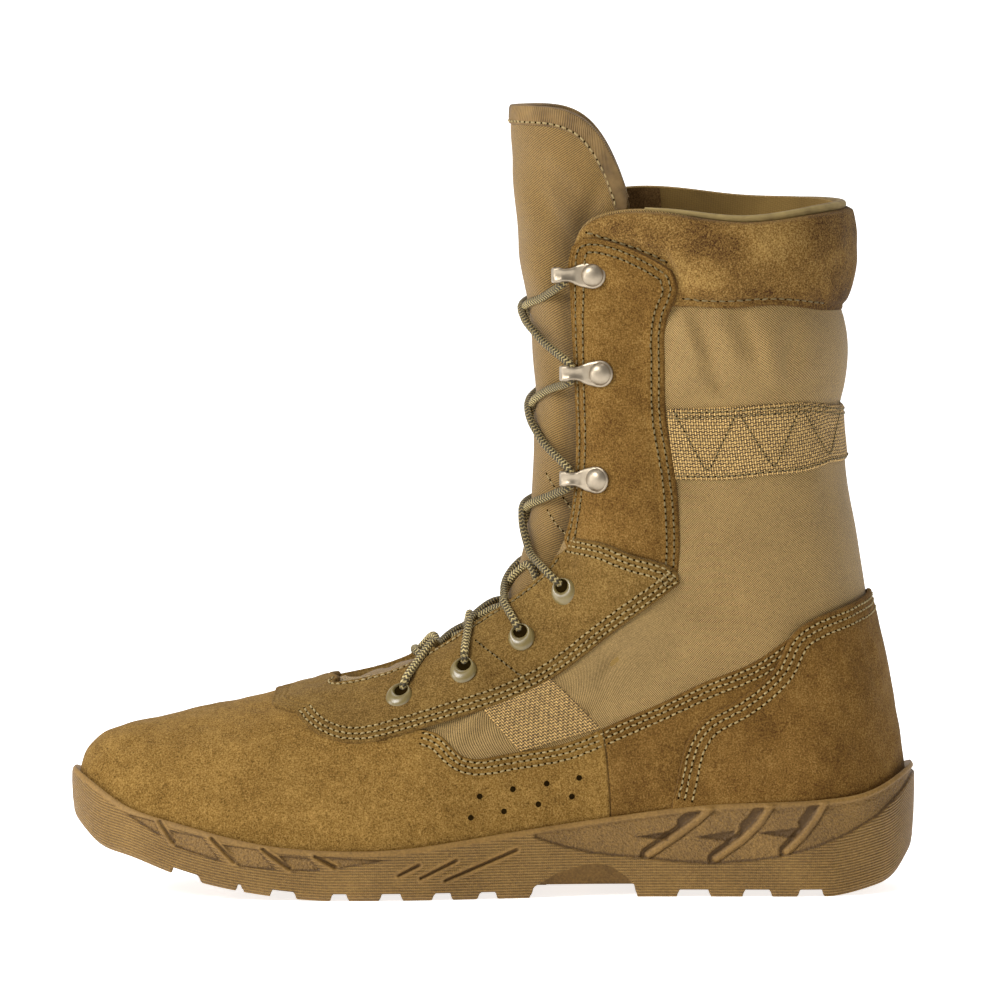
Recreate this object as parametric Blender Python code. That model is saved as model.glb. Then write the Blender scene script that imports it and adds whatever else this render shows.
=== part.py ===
"""Eight-inch military boot, one boot, standing empty on its sole.

Toe to -X, heel to +X, +Z up; the side with the vent holes is -Y. Tables and named
sizes are in millimetres, and MM turns them into Blender's metres as a mesh is made.
"""
import bmesh
import bpy
import numpy as np
from mathutils import Matrix, Vector

for old in list(bpy.data.objects):
    bpy.data.objects.remove(old, do_unlink=True)

MM = 0.001
PARTS = bpy.data.collections.new("military_boot")
TOOLS = bpy.data.collections.new("cutters")
for group in (PARTS, TOOLS):
    bpy.context.scene.collection.children.link(group)

# The shoe's own sizes
SOLE_LENGTH = 302.0
TOE_ROUND = 74.0        # length over which the plan closes at the toe
HEEL_ROUND = 42.0       # and at the heel
CUP_DEPTH = 4.5         # bed of the sole below its rim
RIM_FLARE = 0.7         # the cup is wider at its mouth
FOOT_REST = 0.8         # the upper's foot above the bed
WALL = 1.8              # nylon and lining
SUEDE = 1.2             # suede lower part, a step on the wall
GAP = 0.3               # between pieces that meet
LUG_DEPTH = 2.6
STATIONS = 48           # round the shoe

# Plan of the sole: centre line and half breadth along the length
PLAN = np.array([
    # x, centre, half
    (-151, -7.5, 43.0), (-120, -5.0, 45.5), (-90, -3.0, 49.0), (-55, -1.4, 52.3),
    (-30, 0.6, 53.0), (20, 2.0, 43.5), (60, 1.5, 39.5), (110, 0.0, 38.5), (151, 0.0, 37.0)])

# Side view of the sole: top of the rim and underside of the lugs (toe spring, heel roll)
HEIGHTS = np.array([
    # x, rim, tread
    (-151, 44.5, 26.0), (-143, 39.5, 18.5), (-133, 33.2, 15.0), (-117, 28.0, 9.6), (-101, 24.0, 5.2),
    (-85, 20.5, 2.4), (-60, 18.0, 0.0), (-30, 18.7, 0.0), (-12, 21.0, 0.0), (7, 23.8, 0.0),
    (44, 29.0, 0.0), (78, 33.0, 0.0), (105, 34.0, 0.0), (121, 35.0, 0.0), (137, 38.0, 3.0),
    (146, 42.5, 7.5), (151, 45.5, 14.0)])
FLAT_FROM, FLAT_TO = -60.0, 121.0       # the sole stands on the floor between these

# Sections of the upper, one a row, at an angle round the plan from the toe (0) to the heel (180):
# the top edge, then the two handles of the section's curve, measured from foot and top.
SECTIONS = np.array([
    # angle, top x, y, z,     lower x, y, z,   upper x, y, z
    (0,   -53.0, 0.0, 76.0,    0.5, 0.0, 26,   -69, 0.0, -21.0),
    (16,  -51.5, 5.5, 76.0,    0.5, 0.0, 26,   -65, 7.0, -20.0),
    (33,  -47.5, 9.5, 76.5,    1.0, 0.0, 26,   -52, 13.0, -17.0),
    (49,  -39.5, 12.0, 78.2,   2.0, 0.0, 27,   -33, 17.0, -13.5),
    (65,  -25.0, 13.5, 83.5,   4.0, 0.0, 30,   -14, 19.0, -11.0),
    (82,  -5.5, 15.0, 95.5,    4.0, 2.0, 38,   -5, 18.5, -12.5),
    (98,  12.0, 17.0, 109.0,   2.0, 4.0, 44,   2, 18.0, -19.0),
    (111, 29.0, 22.5, 142.0,   0.0, 4.5, 55,   8, 14.0, -32.0),
    (122, 28.3, 26.0, 205.0,   -1.0, 4.0, 60,  13, 12.0, -48.0),
    (128, 28.0, 27.0, 228.0,   -2.0, 3.0, 62,  15, 11.0, -58.0),
    (134, 33.5, 28.5, 240.0,   -3.0, 2.5, 63,  14, 9.0, -66.0),
    (141, 50.0, 32.5, 244.3,   -4.0, 2.0, 64,  9, 5.0, -75.0),
    (155, 86.0, 37.5, 241.0,   -5.5, 1.0, 63,  -1, 0.0, -92.0),
    (168, 113.0, 27.0, 243.5,  -6.2, 0.5, 62,  -6, -1.0, -108.0),
    (180, 125.0, 0.0, 245.0,   -6.5, 0.0, 62,  -7, 0.0, -117.0)])

# Top edge of the suede lower part on the upper, in the side view
SUEDE_EDGE = np.array([
    # x, z
    (-20.0, 57.0), (-13.0, 52.0), (-6.0, 50.5), (10.0, 52.5), (24.0, 56.0), (39.0, 61.0), (62.0, 70.0),
    (77.0, 77.5), (93.0, 84.0), (103.0, 91.0), (112.0, 97.0), (122.0, 101.0)])


def spline(knots, values, at, period=None):
    """Cubic curve through the rows, read at the places given: free ends, or closed with a period."""
    knots, values, at = np.asarray(knots, float), np.asarray(values, float), np.asarray(at, float)
    if period:
        knots = np.concatenate([knots[-4:] - period, knots, knots[:4] + period])
        values = np.concatenate([values[-4:], values, values[:4]])
        at = np.mod(at, period)
    count, step = len(knots), np.diff(knots)
    system, right = np.eye(count), np.zeros_like(values)
    for i in range(1, count - 1):
        system[i, i - 1:i + 2] = step[i - 1], 2 * (step[i - 1] + step[i]), step[i]
        right[i] = 6 * ((values[i + 1] - values[i]) / step[i] - (values[i] - values[i - 1]) / step[i - 1])
    bend = np.linalg.solve(system, right)
    k = np.clip(np.searchsorted(knots, at, side="right") - 1, 0, count - 2)
    b = (at - knots[k]) / step[k]
    a, sixth = 1 - b, step[k] ** 2 / 6
    if values.ndim > 1:
        a, b, sixth = a[..., None], b[..., None], sixth[..., None]
    return a * values[k] + b * values[k + 1] + ((a ** 3 - a) * bend[k] + (b ** 3 - b) * bend[k + 1]) * sixth


def plan(angle, inset=0.0):
    """Outline of the sole from above at an angle round it, moved in by the inset."""
    def edge(a):
        x = -SOLE_LENGTH / 2 * np.cos(np.radians(a))
        centre, half = np.moveaxis(spline(PLAN[:, 0], PLAN[:, 1:], x), -1, 0)
        toe = np.clip(1 - (x + SOLE_LENGTH / 2) / TOE_ROUND, 0, 1)
        heel = np.clip(1 - (SOLE_LENGTH / 2 - x) / HEEL_ROUND, 0, 1)
        close = np.sqrt((1 - toe ** 2) * (1 - heel ** 2))
        return np.stack([x, centre - half * close * np.sign(np.sin(np.radians(a)))], -1)
    angle = np.asarray(angle, float)
    along = edge(angle + 0.05) - edge(angle - 0.05)
    along /= np.linalg.norm(along, axis=-1, keepdims=True)
    inward = np.stack([-along[..., 1], along[..., 0]], -1)
    return edge(angle) + inward * np.asarray(inset, float)[..., None]


def sole_heights(x):
    """Rim and tread heights of the sole at x; the tread is flat where the shoe stands."""
    rim, tread = np.moveaxis(spline(HEIGHTS[:, 0], HEIGHTS[:, 1:], x), -1, 0)
    return rim, np.where((x > FLAT_FROM) & (x < FLAT_TO), 0.0, np.maximum(tread, 0.0))


def foot_inset(angle):
    """How far the upper's foot stands inside the sole's outline: more at the heel, under the counter."""
    rise = np.clip((-SOLE_LENGTH / 2 * np.cos(np.radians(angle)) - 60) / 80, 0, 1)
    return 3.9 + 1.6 * rise * rise * (3 - 2 * rise)


def both_sides(rows):
    """Section rows round the whole shoe: -Y side first, then its mirror image back to the toe."""
    near, far = rows.copy(), rows[-2:0:-1].copy()
    near[:, [2, 5, 8]] *= -1
    far[:, 0] = 360 - far[:, 0]
    return np.concatenate([near, far])


ROUND = both_sides(SECTIONS)


def last(angle, t):
    """The upper's form: each section is one cubic from the foot (t 0) to the top edge (t 1)."""
    angle, t = np.broadcast_arrays(np.mod(np.asarray(angle, float), 360), np.asarray(t, float))
    row = spline(ROUND[:, 0], ROUND[:, 1:], angle, 360.0)
    foot = plan(angle, foot_inset(angle))
    base = sole_heights(foot[..., 0])[0] - CUP_DEPTH + FOOT_REST
    foot = np.concatenate([foot, base[..., None]], -1)
    top, low, high = row[..., 0:3], foot + row[..., 3:6], row[..., 0:3] + row[..., 6:9]
    t = t[..., None]
    return (1 - t) ** 3 * foot + 3 * t * (1 - t) ** 2 * low + 3 * t * t * (1 - t) * high + t ** 3 * top


def outward(angle, t):
    """Unit normal of the form, pointing out of the shoe."""
    round_it = last(np.asarray(angle) + 0.05, t) - last(np.asarray(angle) - 0.05, t)
    up_it = last(angle, np.asarray(t) + 0.0005) - last(angle, np.asarray(t) - 0.0005)
    normal = np.cross(round_it, up_it)
    return normal / np.linalg.norm(normal, axis=-1, keepdims=True)


def lifted(angle, t, height):
    """Point of the form moved out by a height."""
    return last(angle, t) + outward(angle, t) * np.asarray(height, float)[..., None]


def find(points):
    """Angle and t of the -Y side's points that show at the given (x, z) places of the side view."""
    points = np.asarray(points, float)
    angle, t = np.meshgrid(np.linspace(1, 179, 90), np.linspace(0.02, 0.98, 40))
    view = last(angle, t)[..., [0, 2]].reshape(-1, 2)
    nearest = ((points[:, None] - view[None]) ** 2).sum(-1).argmin(1)
    place = np.stack([angle.ravel()[nearest], t.ravel()[nearest]], -1)
    for _ in range(8):
        here = last(place[:, 0], place[:, 1])[:, [0, 2]]
        slope_a = (last(place[:, 0] + 0.1, place[:, 1])[:, [0, 2]] - here) / 0.1
        slope_t = (last(place[:, 0], place[:, 1] + 0.001)[:, [0, 2]] - here) / 0.001
        move = np.linalg.solve(np.stack([slope_a, slope_t], -1), (points - here)[..., None])[..., 0]
        place = np.clip(place + move, (0, 0), (180, 1))
    return place


# Finishes: colour, roughness, metallic
FINISHES = {
    "sole_rubber": ((0.36, 0.27, 0.16), 0.7, 0.0),
    "footbed": ((0.16, 0.14, 0.10), 0.9, 0.0),
    "nylon": ((0.45, 0.35, 0.22), 0.8, 0.0),
    "suede": ((0.33, 0.22, 0.10), 0.95, 0.0),
    "webbing": ((0.42, 0.33, 0.20), 0.85, 0.0),
    "lace_cord": ((0.42, 0.36, 0.20), 0.8, 0.0),
    "painted_hardware": ((0.62, 0.52, 0.40), 0.35, 0.6)}


def finish(piece, name):
    """Give a piece its material."""
    material = bpy.data.materials.get(name) or bpy.data.materials.new(name)
    material.use_nodes = True
    shader = material.node_tree.nodes["Principled BSDF"]
    colour, roughness, metallic = FINISHES[name]
    shader.inputs["Base Color"].default_value = (*colour, 1.0)
    shader.inputs["Roughness"].default_value = roughness
    shader.inputs["Metallic"].default_value = metallic
    piece.data.materials.append(material)
    piece.data.shade_smooth()
    piece.data.set_sharp_from_angle(angle=0.6)
    return piece


def hidden(piece):
    """Make a piece a tool that is not part of the shoe."""
    piece.hide_render = True
    piece.display_type = "WIRE"
    for group in list(piece.users_collection):
        group.objects.unlink(piece)
    TOOLS.objects.link(piece)
    return piece


def add_solid(name, points, faces):
    """Closed mesh object from points in millimetres, with its faces turned outward."""
    mesh = bpy.data.meshes.new(name)
    mesh.from_pydata((np.asarray(points) * MM).tolist(), [], [list(map(int, f)) for f in faces])
    shape = bmesh.new()
    shape.from_mesh(mesh)
    bmesh.ops.recalc_face_normals(shape, faces=shape.faces)
    if shape.calc_volume(signed=True) < 0:
        bmesh.ops.reverse_faces(shape, faces=shape.faces)
    shape.to_mesh(mesh)
    shape.free()
    piece = bpy.data.objects.new(name, mesh)
    PARTS.objects.link(piece)
    return piece


def strips(upper, lower, closed):
    """Quads between two rows of point numbers."""
    upper, lower = np.asarray(upper), np.asarray(lower)
    if closed:
        upper, lower = np.append(upper, upper[0]), np.append(lower, lower[0])
    return np.stack([upper[:-1], upper[1:], lower[1:], lower[:-1]], -1).tolist()


def shell(name, outer, inner, closed=False):
    """Solid between two grids of the same size; closed joins the last column to the first."""
    rows, columns = outer.shape[:2]
    out = np.arange(rows * columns).reshape(rows, columns)
    inn = out + rows * columns
    faces = []
    for r in range(rows - 1):
        faces += strips(out[r], out[r + 1], closed) + strips(inn[r + 1], inn[r], closed)
    faces += strips(out[0], inn[0], closed) + strips(out[-1], inn[-1], closed)
    if not closed:
        faces += strips(out[:, 0], inn[:, 0], False) + strips(out[:, -1], inn[:, -1], False)
    return add_solid(name, np.concatenate([outer.reshape(-1, 3), inner.reshape(-1, 3)]), faces)


def stack(name, rings):
    """Solid of closed rings, its first and last ring covered by rungs from side to side."""
    count = len(rings[0])
    faces = []
    for r in range(len(rings) - 1):
        level = np.arange(count) + r * count
        faces += strips(level, level + count, True)
    for first in (0, (len(rings) - 1) * count):
        for j in range(count // 2):
            rung = [j, j + 1, (count - j - 1) % count, (count - j) % count]
            faces.append([first + k for k in dict.fromkeys(rung)])
    return add_solid(name, np.concatenate(rings), faces)


def cutter(name, boxes):
    """Hidden tool made of boxes, each a (centre, length axis, depth axis, size) row in millimetres."""
    shape = bmesh.new()
    for centre, along, across, size in boxes:
        x_axis = Vector(along).normalized()
        z_axis = x_axis.cross(Vector(across)).normalized()
        y_axis = z_axis.cross(x_axis)
        turn = Matrix((x_axis, y_axis, z_axis)).transposed().to_4x4()
        place = Matrix.Translation(Vector(centre) * MM) @ turn @ Matrix.Diagonal((*[s * MM for s in size], 1))
        bmesh.ops.create_cube(shape, size=1.0, matrix=place)
    mesh = bpy.data.meshes.new(name)
    shape.to_mesh(mesh)
    shape.free()
    tool = bpy.data.objects.new(name, mesh)
    PARTS.objects.link(tool)
    return hidden(tool)


def combine(piece, tool, operation="DIFFERENCE"):
    """Boolean of a piece with a hidden tool."""
    modifier = piece.modifiers.new(tool.name, "BOOLEAN")
    modifier.object, modifier.operation, modifier.solver = tool, operation, "EXACT"


ROUND_STATIONS = np.arange(STATIONS) * 360.0 / STATIONS


# Sole: one moulded unit with a cup for the upper, ribbed wall, arch cut-out and lugs
# Wall of the sole from rim to tread: share of the way down and how far in
SOLE_WALL = np.array([
    # down, inset
    (0.00, 1.3), (0.07, 0.4), (0.20, 0.0), (0.50, 0.2), (0.52, 1.0), (0.57, 1.0), (0.59, 0.2), (0.66, 0.3),
    (0.68, 1.1), (0.73, 1.1), (0.75, 0.4), (0.90, 0.9), (1.00, 2.4)])
# Gaps between the lugs along each edge
LUG_GAPS = np.array([
    # from, to
    (-114.8, -104.8), (-91.4, -89.4), (-79.0, -70.4), (-57.5, -51.8), (-39.9, -32.4), (-21.0, -14.5),
    (-4.8, 1.6), (65.7, 76.8), (89.0, 98.7), (108.7, 117.7)])
# Arch cut-out of the wall in the side view, and its depth
ARCH = np.array([(13.0, -1.0), (14.5, 4.0), (22.0, 8.6), (31.0, 11.5), (37.5, 12.2), (42.5, 10.8), (47.5, 7.2),
                 (50.4, 4.0), (51.5, -1.0)])
ARCH_DEPTH, ARCH_CEILING = 9.0, 3.6
# Slanting grooves of the side: upper end, lower end
SIDE_GROOVES = np.array([
    # x1, z1, x2, z2
    (-118.0, 25.5, -113.5, 20.0), (-100.0, 21.6, -92.5, 14.4), (-81.5, 18.4, -73.0, 12.0),
    (-63.0, 15.8, -57.0, 12.2), (-31.0, 12.5, -14.0, 16.5), (-17.0, 8.5, 7.0, 17.5), (77.0, 30.5, 55.0, 14.5),
    (98.5, 32.0, 79.0, 14.2), (118.0, 32.5, 104.5, 15.5)])
GROOVE_WIDTH, GROOVE_DEPTH = 2.2, 1.1


def side_station(x, side):
    """Outline point and the way along it at x on one side (-1 is the -Y side)."""
    angle = np.degrees(np.arccos(-x / (SOLE_LENGTH / 2)))
    angle = angle if side < 0 else 360 - angle
    here, ahead = plan(angle), plan(angle + (0.5 if side < 0 else -0.5))
    return here, ahead - here


def build_sole():
    outline = plan(ROUND_STATIONS)
    rim, tread = sole_heights(outline[:, 0])
    lip = foot_inset(ROUND_STATIONS) - SUEDE - GAP
    inside, mouth = plan(ROUND_STATIONS, lip), plan(ROUND_STATIONS, lip - RIM_FLARE)
    inside_rim = sole_heights(inside[:, 0])[0]
    rings = [np.column_stack([inside, inside_rim - CUP_DEPTH]), np.column_stack([mouth, inside_rim - 0.5])]
    for down, inset in SOLE_WALL:
        rings.append(np.column_stack([plan(ROUND_STATIONS, np.full(STATIONS, inset)), rim + (tread - rim) * down]))
    sole = stack("outsole", rings)

    treads, slots, grooves = [], [], []
    for x0, x1 in LUG_GAPS:
        middle = (x0 + x1) / 2
        low0, low1 = sole_heights(np.array([x0, x1]))[1]
        for side in (-1, 1):
            here, _ = side_station(middle, side)
            treads.append(((middle, here[1] - side * 8, (low0 + low1) / 2), (x1 - x0, 0, low1 - low0), (0, 1, 0),
                           (np.hypot(x1 - x0, low1 - low0), 28, 2 * LUG_DEPTH)))
    treads.append(((32.0, 0, 0), (1, 0, 0), (0, 1, 0), (36.0, 130, 2 * ARCH_CEILING)))
    for x0, x1 in ((-112.0, -64.0), (-58.0, 8.0), (58.0, 118.0)):
        low0, low1 = sole_heights(np.array([x0, x1]))[1]
        for y in (-15.5, 15.5):
            slots.append((((x0 + x1) / 2, y, (low0 + low1) / 2), (x1 - x0, 0, low1 - low0), (0, 1, 0),
                          (np.hypot(x1 - x0, low1 - low0), 4.0, 2 * LUG_DEPTH - 0.8)))
    for x1, z1, x2, z2 in SIDE_GROOVES:
        for side in (-1, 1):
            here, along = side_station((x1 + x2) / 2, side)
            along = along / abs(along[0]) * np.sign(along[0])
            slope = (x2 - x1, (x2 - x1) * along[1] / along[0], z2 - z1)
            grooves.append(((here[0], here[1], (z1 + z2) / 2), slope, (0, side, 0),
                            (np.hypot(x2 - x1, z2 - z1), 2 * GROOVE_DEPTH, GROOVE_WIDTH)))
    for name, boxes in (("tread_tool", treads), ("slot_tool", slots), ("groove_tool", grooves)):
        combine(sole, cutter(name, boxes))
    for side in (-1, 1):
        face = side_station(34.0, side)[0][1]
        front = np.column_stack([ARCH[:, 0], np.full(len(ARCH), face - side * ARCH_DEPTH), ARCH[:, 1]])
        back = front + (0, side * 30.0, 0)
        count = len(ARCH)
        faces = [list(range(count)), list(range(count, 2 * count))]
        faces += strips(np.arange(count), np.arange(count) + count, True)
        tool = add_solid("arch_tool_%s" % ("near" if side < 0 else "far"), np.concatenate([front, back]), faces)
        combine(sole, hidden(tool))
    finish(sole, "sole_rubber")


# Insole: foam footbed in the cup, inside the upper's foot
INSOLE_THICK, INSOLE_ROOM, INSOLE_REST = 4.0, 1.2, 0.5


def build_insole():
    outline = plan(ROUND_STATIONS, foot_inset(ROUND_STATIONS) + WALL + INSOLE_ROOM)
    bed = sole_heights(outline[:, 0])[0] - CUP_DEPTH + INSOLE_REST
    inner = plan(ROUND_STATIONS, foot_inset(ROUND_STATIONS) + WALL + INSOLE_ROOM + 1.0)
    rings = [np.column_stack([inner, bed + INSOLE_THICK]), np.column_stack([outline, bed + INSOLE_THICK - 1]),
             np.column_stack([outline, bed])]
    finish(stack("insole", rings), "footbed")


# Upper: one hollow wall, its suede lower part a step thicker, open underneath, at the throat and the collar
BELOW = np.array([0, 0.08, 0.19, 0.33, 0.50, 0.73, 1.0])     # rows up to the suede's edge
ABOVE = np.array([0.16, 0.34, 0.52, 0.70, 0.86, 1.0])        # and from it to the top
# In front the suede runs on under the eyestay
SUEDE_FRONT = np.array([
    # angle, t
    (0, 0.95), (30, 0.88), (47, 0.76), (56, 0.65), (62, 0.59), (70, 0.54)])


def suede_edge(angle):
    """t of the suede part's top edge at an angle round the shoe, the same on both sides."""
    place = find(SUEDE_EDGE)
    fold = np.where(angle > 180, 360 - angle, angle)
    line = np.concatenate([SUEDE_FRONT, place, [[181, place[-1, 1]]]])
    return np.interp(fold, line[:, 0], line[:, 1])


# The upper bends from instep to shaft here, with more stations
ANKLE_BEND = np.array([101.25, 108.75, 116.25])
UPPER_STATIONS = np.sort(np.concatenate([ROUND_STATIONS, ANKLE_BEND, 360 - ANKLE_BEND]))


def build_upper():
    edge = suede_edge(UPPER_STATIONS)
    heights = [edge * share for share in BELOW]
    heights += [edge + 0.004] + [edge + 0.004 + (0.996 - edge) * share for share in ABOVE]
    t = np.array(heights)
    angle = np.broadcast_to(UPPER_STATIONS, t.shape)
    lift = np.zeros(t.shape)
    lift[:len(BELOW)] = SUEDE
    wall = shell("upper", lifted(angle, t, lift), lifted(angle, t, np.full(t.shape, -WALL)), closed=True)
    finish(wall, "nylon")


# Tongue: padded sheet, a gutter in section, from under the vamp to above the collar
TONGUE_THICK, TONGUE_COLUMNS = 3.0, 9
TONGUE = np.array([
    # front x, front z, edge x, edge y, edge z, droop
    (-66.0, 66.5, -61.0, 13.0, 63.5, 1.0),
    (-45.0, 73.8, -40.0, 18.0, 69.0, 1.0),
    (-25.0, 80.8, -18.0, 20.0, 74.5, 1.0),
    (-6.0, 92.6, 4.0, 19.8, 84.0, 1.0),
    (4.5, 104.0, 19.0, 18.6, 94.5, 1.0),
    (10.8, 121.0, 34.0, 18.6, 110.0, 1.0),
    (13.5, 142.0, 41.0, 20.2, 135.0, 1.0),
    (14.8, 180.0, 44.0, 24.0, 178.0, 1.0),
    (11.5, 215.0, 45.0, 25.0, 211.0, 1.0),
    (8.6, 237.0, 46.5, 25.5, 226.0, 1.2),
    (6.7, 258.0, 47.5, 26.0, 236.0, 2.0),
    (5.9, 272.0, 48.0, 26.5, 242.0, 3.2),
    (6.6, 280.3, 48.4, 26.5, 246.0, 4.0)])


def tongue_at(row, bend):
    """Outer face of the tongue: a row (counted from the vamp up) bends back from its front to its edges
    as a quarter of an oval; droop shapes the top."""
    row, bend = np.broadcast_arrays(np.asarray(row, float), np.asarray(bend, float))
    front_x, front_z, edge_x, edge_y, edge_z, droop = np.moveaxis(spline(np.arange(len(TONGUE)), TONGUE, row), -1, 0)
    share = 1 - np.cos(bend)
    return np.stack([front_x + (edge_x - front_x) * share, edge_y * np.sin(bend),
                     front_z + (edge_z - front_z) * share ** droop], -1)


def tongue_inward(row, bend):
    """Unit normal of the tongue's outer face, pointing into the shoe."""
    across = tongue_at(row, np.asarray(bend) + 0.01) - tongue_at(row, np.asarray(bend) - 0.01)
    along = tongue_at(np.asarray(row) + 0.02, bend) - tongue_at(np.asarray(row) - 0.02, bend)
    normal = np.cross(across, along)
    return normal / np.linalg.norm(normal, axis=-1, keepdims=True)


def build_tongue():
    bend, row = np.meshgrid(np.linspace(-1, 1, TONGUE_COLUMNS) * np.pi / 2, np.arange(len(TONGUE)))
    outer = tongue_at(row, bend)
    finish(shell("tongue", outer, outer + tongue_inward(row, bend) * TONGUE_THICK), "nylon")


# Overlays: each is cut between two forms, the upper's own function lifted by SEAT and by SEAT and its thickness.
# Their edges are drawn in the side view, and the far side mirrors the near one.
OVERLAY = 1.4           # thickness of suede pieces and webbing
SEAT = 0.5              # gap under an overlay
TOP_EDGE = 0.985        # t where an overlay stops short of the upper's own edge


def on_form(points):
    """Angle and t of side-view points given in millimetres, as two columns."""
    return find(np.asarray(points, float))


def evenly(places, count, bias=None):
    """The same line of (angle, t) places cut into equal lengths on the form."""
    fine = np.linspace(0, len(places) - 1, 12 * len(places))
    line = np.stack([np.interp(fine, np.arange(len(places)), places[:, k]) for k in (0, 1)], -1)
    walk = np.concatenate([[0], np.cumsum(np.linalg.norm(np.diff(last(line[:, 0], line[:, 1]), axis=0), axis=1))])
    at = np.linspace(0, walk[-1], count)
    return np.stack([np.interp(at, walk, line[:, k]) for k in (0, 1)], -1)


def between(first, second, rows):
    """Grid of (angle, t) from one edge to the other."""
    share = np.linspace(0, 1, rows)[:, None, None]
    return first[None] * (1 - share) + second[None] * share


def mirrored(edge, about):
    """An edge run on past the centre line at the toe (0) or heel (180) to the other side."""
    other = edge[::-1].copy()
    other[:, 0] = 2 * about - other[:, 0]
    return np.concatenate([other[:-1], edge]) if about == 0 else np.concatenate([edge, other[1:]])


def overlay(name, grid, base=0.0, thick=OVERLAY, finish_name="suede"):
    """Solid between the form lifted by base and SEAT, and that lifted by its thickness as well."""
    angle, t = grid[..., 0], grid[..., 1]
    under = np.zeros(angle.shape) + base + SEAT
    return finish(shell(name, lifted(angle, t, under + thick), lifted(angle, t, under)), finish_name)


# Heel counter: top edge from the heel down its front curve
COUNTER_TOP = [(132.0, 104.5), (118.0, 100.5), (107.0, 94.5), (101.0, 83.5), (94.0, 76.0), (84.0, 69.0),
               (75.5, 64.5), (70.0, 58.0), (67.5, 52.0), (65.0, 40.5)]
COUNTER_FOOT_T, COUNTER_FRONT = 0.045, 115.0
# Eyestay: lower edge from the vamp's ridge back, and the end of its top edge
EYESTAY_LOW = [(-70.0, 63.5), (-63.5, 58.0), (-54.0, 54.5), (-44.5, 54.5), (-35.0, 57.0), (-23.5, 60.5), (14.0, 74.0),
               (24.5, 80.0), (45.0, 96.0), (61.0, 107.0), (65.5, 111.5)]
EYESTAY_TOP = [(33.0, 126.4), (40.0, 125.4), (50.0, 121.4), (65.0, 115.2)]
EYESTAY_RIDGE_T = 0.89
# Facing strip: front and back edges from the eyestay up
FACING_FRONT = [(33.0, 129.0), (31.0, 146.0), (30.0, 160.0), (29.6, 190.0), (28.8, 213.0), (34.0, 235.0)]
FACING_BACK = [(65.0, 118.0), (66.0, 135.0), (64.0, 155.0), (61.5, 170.0), (61.0, 192.0), (62.5, 208.0), (64.0, 224.5)]
# Cuff: lower edge from the heel to the front, above the facing
CUFF_LOW = [(116.5, 208.0), (98.5, 210.5), (81.0, 209.5), (68.0, 211.0), (67.3, 218.0), (65.0, 226.5), (50.0, 232.5),
            (36.0, 237.2)]
CUFF_BACK_T, CUFF_FRONT, CUFF_PAD = 0.883, 134.5, 4.4
# Ankle webbing: top and bottom edges from the facing to the heel
WEB_TOP = [(63.5, 174.0), (80.0, 174.5), (95.0, 175.3), (110.0, 176.2)]
WEB_LOW = [(66.0, 148.7), (85.0, 148.7), (100.0, 150.4), (110.0, 151.0), (120.0, 153.7)]
WEB_BACK_T = (0.755, 0.670)
# Instep strap: its two long edges
STRAP_TOP = [(-2.5, 66.2), (19.0, 75.8)]
STRAP_LOW = [(11.0, 55.2), (35.0, 62.8)]


def build_overlays():
    top = np.concatenate([[[180.0, 0.405]], on_form(COUNTER_TOP)[1:]])
    foot = np.array([[180.0, COUNTER_FOOT_T], [COUNTER_FRONT, COUNTER_FOOT_T]])
    top, foot = evenly(top, 13), evenly(foot, 13)
    overlay("heel_counter", between(mirrored(foot[::-1], 180), mirrored(top[::-1], 180), 5), base=SUEDE)

    low = np.concatenate([[[0.0, EYESTAY_RIDGE_T]], on_form(EYESTAY_LOW)])
    edge = np.array([[angle, TOP_EDGE] for angle in (0, 30, 60, 80, 96, 104)])
    top = np.concatenate([edge, on_form(EYESTAY_TOP)])
    grid = between(mirrored(evenly(low, 20), 0), mirrored(evenly(top, 20), 0), 7)
    over_suede = np.clip((92 - np.abs(grid[..., 0])) / 8, 0, 1) * SUEDE
    overlay("eyestay", grid, base=over_suede + 0.1)

    front, back = evenly(on_form(FACING_FRONT), 12), evenly(on_form(FACING_BACK), 12)
    front[:, 1] = np.minimum(front[:, 1], TOP_EDGE)
    grid = between(front, back, 5)
    far = grid * (-1, 1) + (360, 0)
    overlay("facing_near", grid, base=0.15)
    overlay("facing_far", far, base=0.15)

    low = np.concatenate([[[180.0, CUFF_BACK_T]], on_form(CUFF_LOW)])
    rim = np.array([[angle, TOP_EDGE] for angle in (180, 165, 150, CUFF_FRONT)])
    low, rim = evenly(low, 13), evenly(rim, 13)
    grid = between(mirrored(low[::-1], 180), mirrored(rim[::-1], 180), 6)
    deep = np.linalg.norm(last(low[:, 0], low[:, 1]) - last(rim[:, 0], rim[:, 1]), axis=-1)
    deep = np.minimum(np.concatenate([deep[::-1], deep[1:]]) / 30.0, 1.0)
    pad = np.sin(np.linspace(0.05, 0.97, 6) * np.pi)[:, None] ** 0.6 * deep[None]
    overlay("cuff", grid, base=0.1, thick=OVERLAY + CUFF_PAD * pad)

    top = np.concatenate([on_form(WEB_TOP), [[180.0, WEB_BACK_T[0]]]])
    low = np.concatenate([on_form(WEB_LOW), [[180.0, WEB_BACK_T[1]]]])
    grid = between(mirrored(evenly(low, 12), 180), mirrored(evenly(top, 12), 180), 3)
    overlay("shaft_webbing", grid, thick=1.2, finish_name="webbing")

    grid = between(evenly(on_form(STRAP_LOW), 4), evenly(on_form(STRAP_TOP), 4), 4)
    overlay("instep_webbing_near", grid, thick=1.2, finish_name="webbing")
    overlay("instep_webbing_far", grid * (-1, 1) + (360, 0), thick=1.2, finish_name="webbing")


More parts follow.
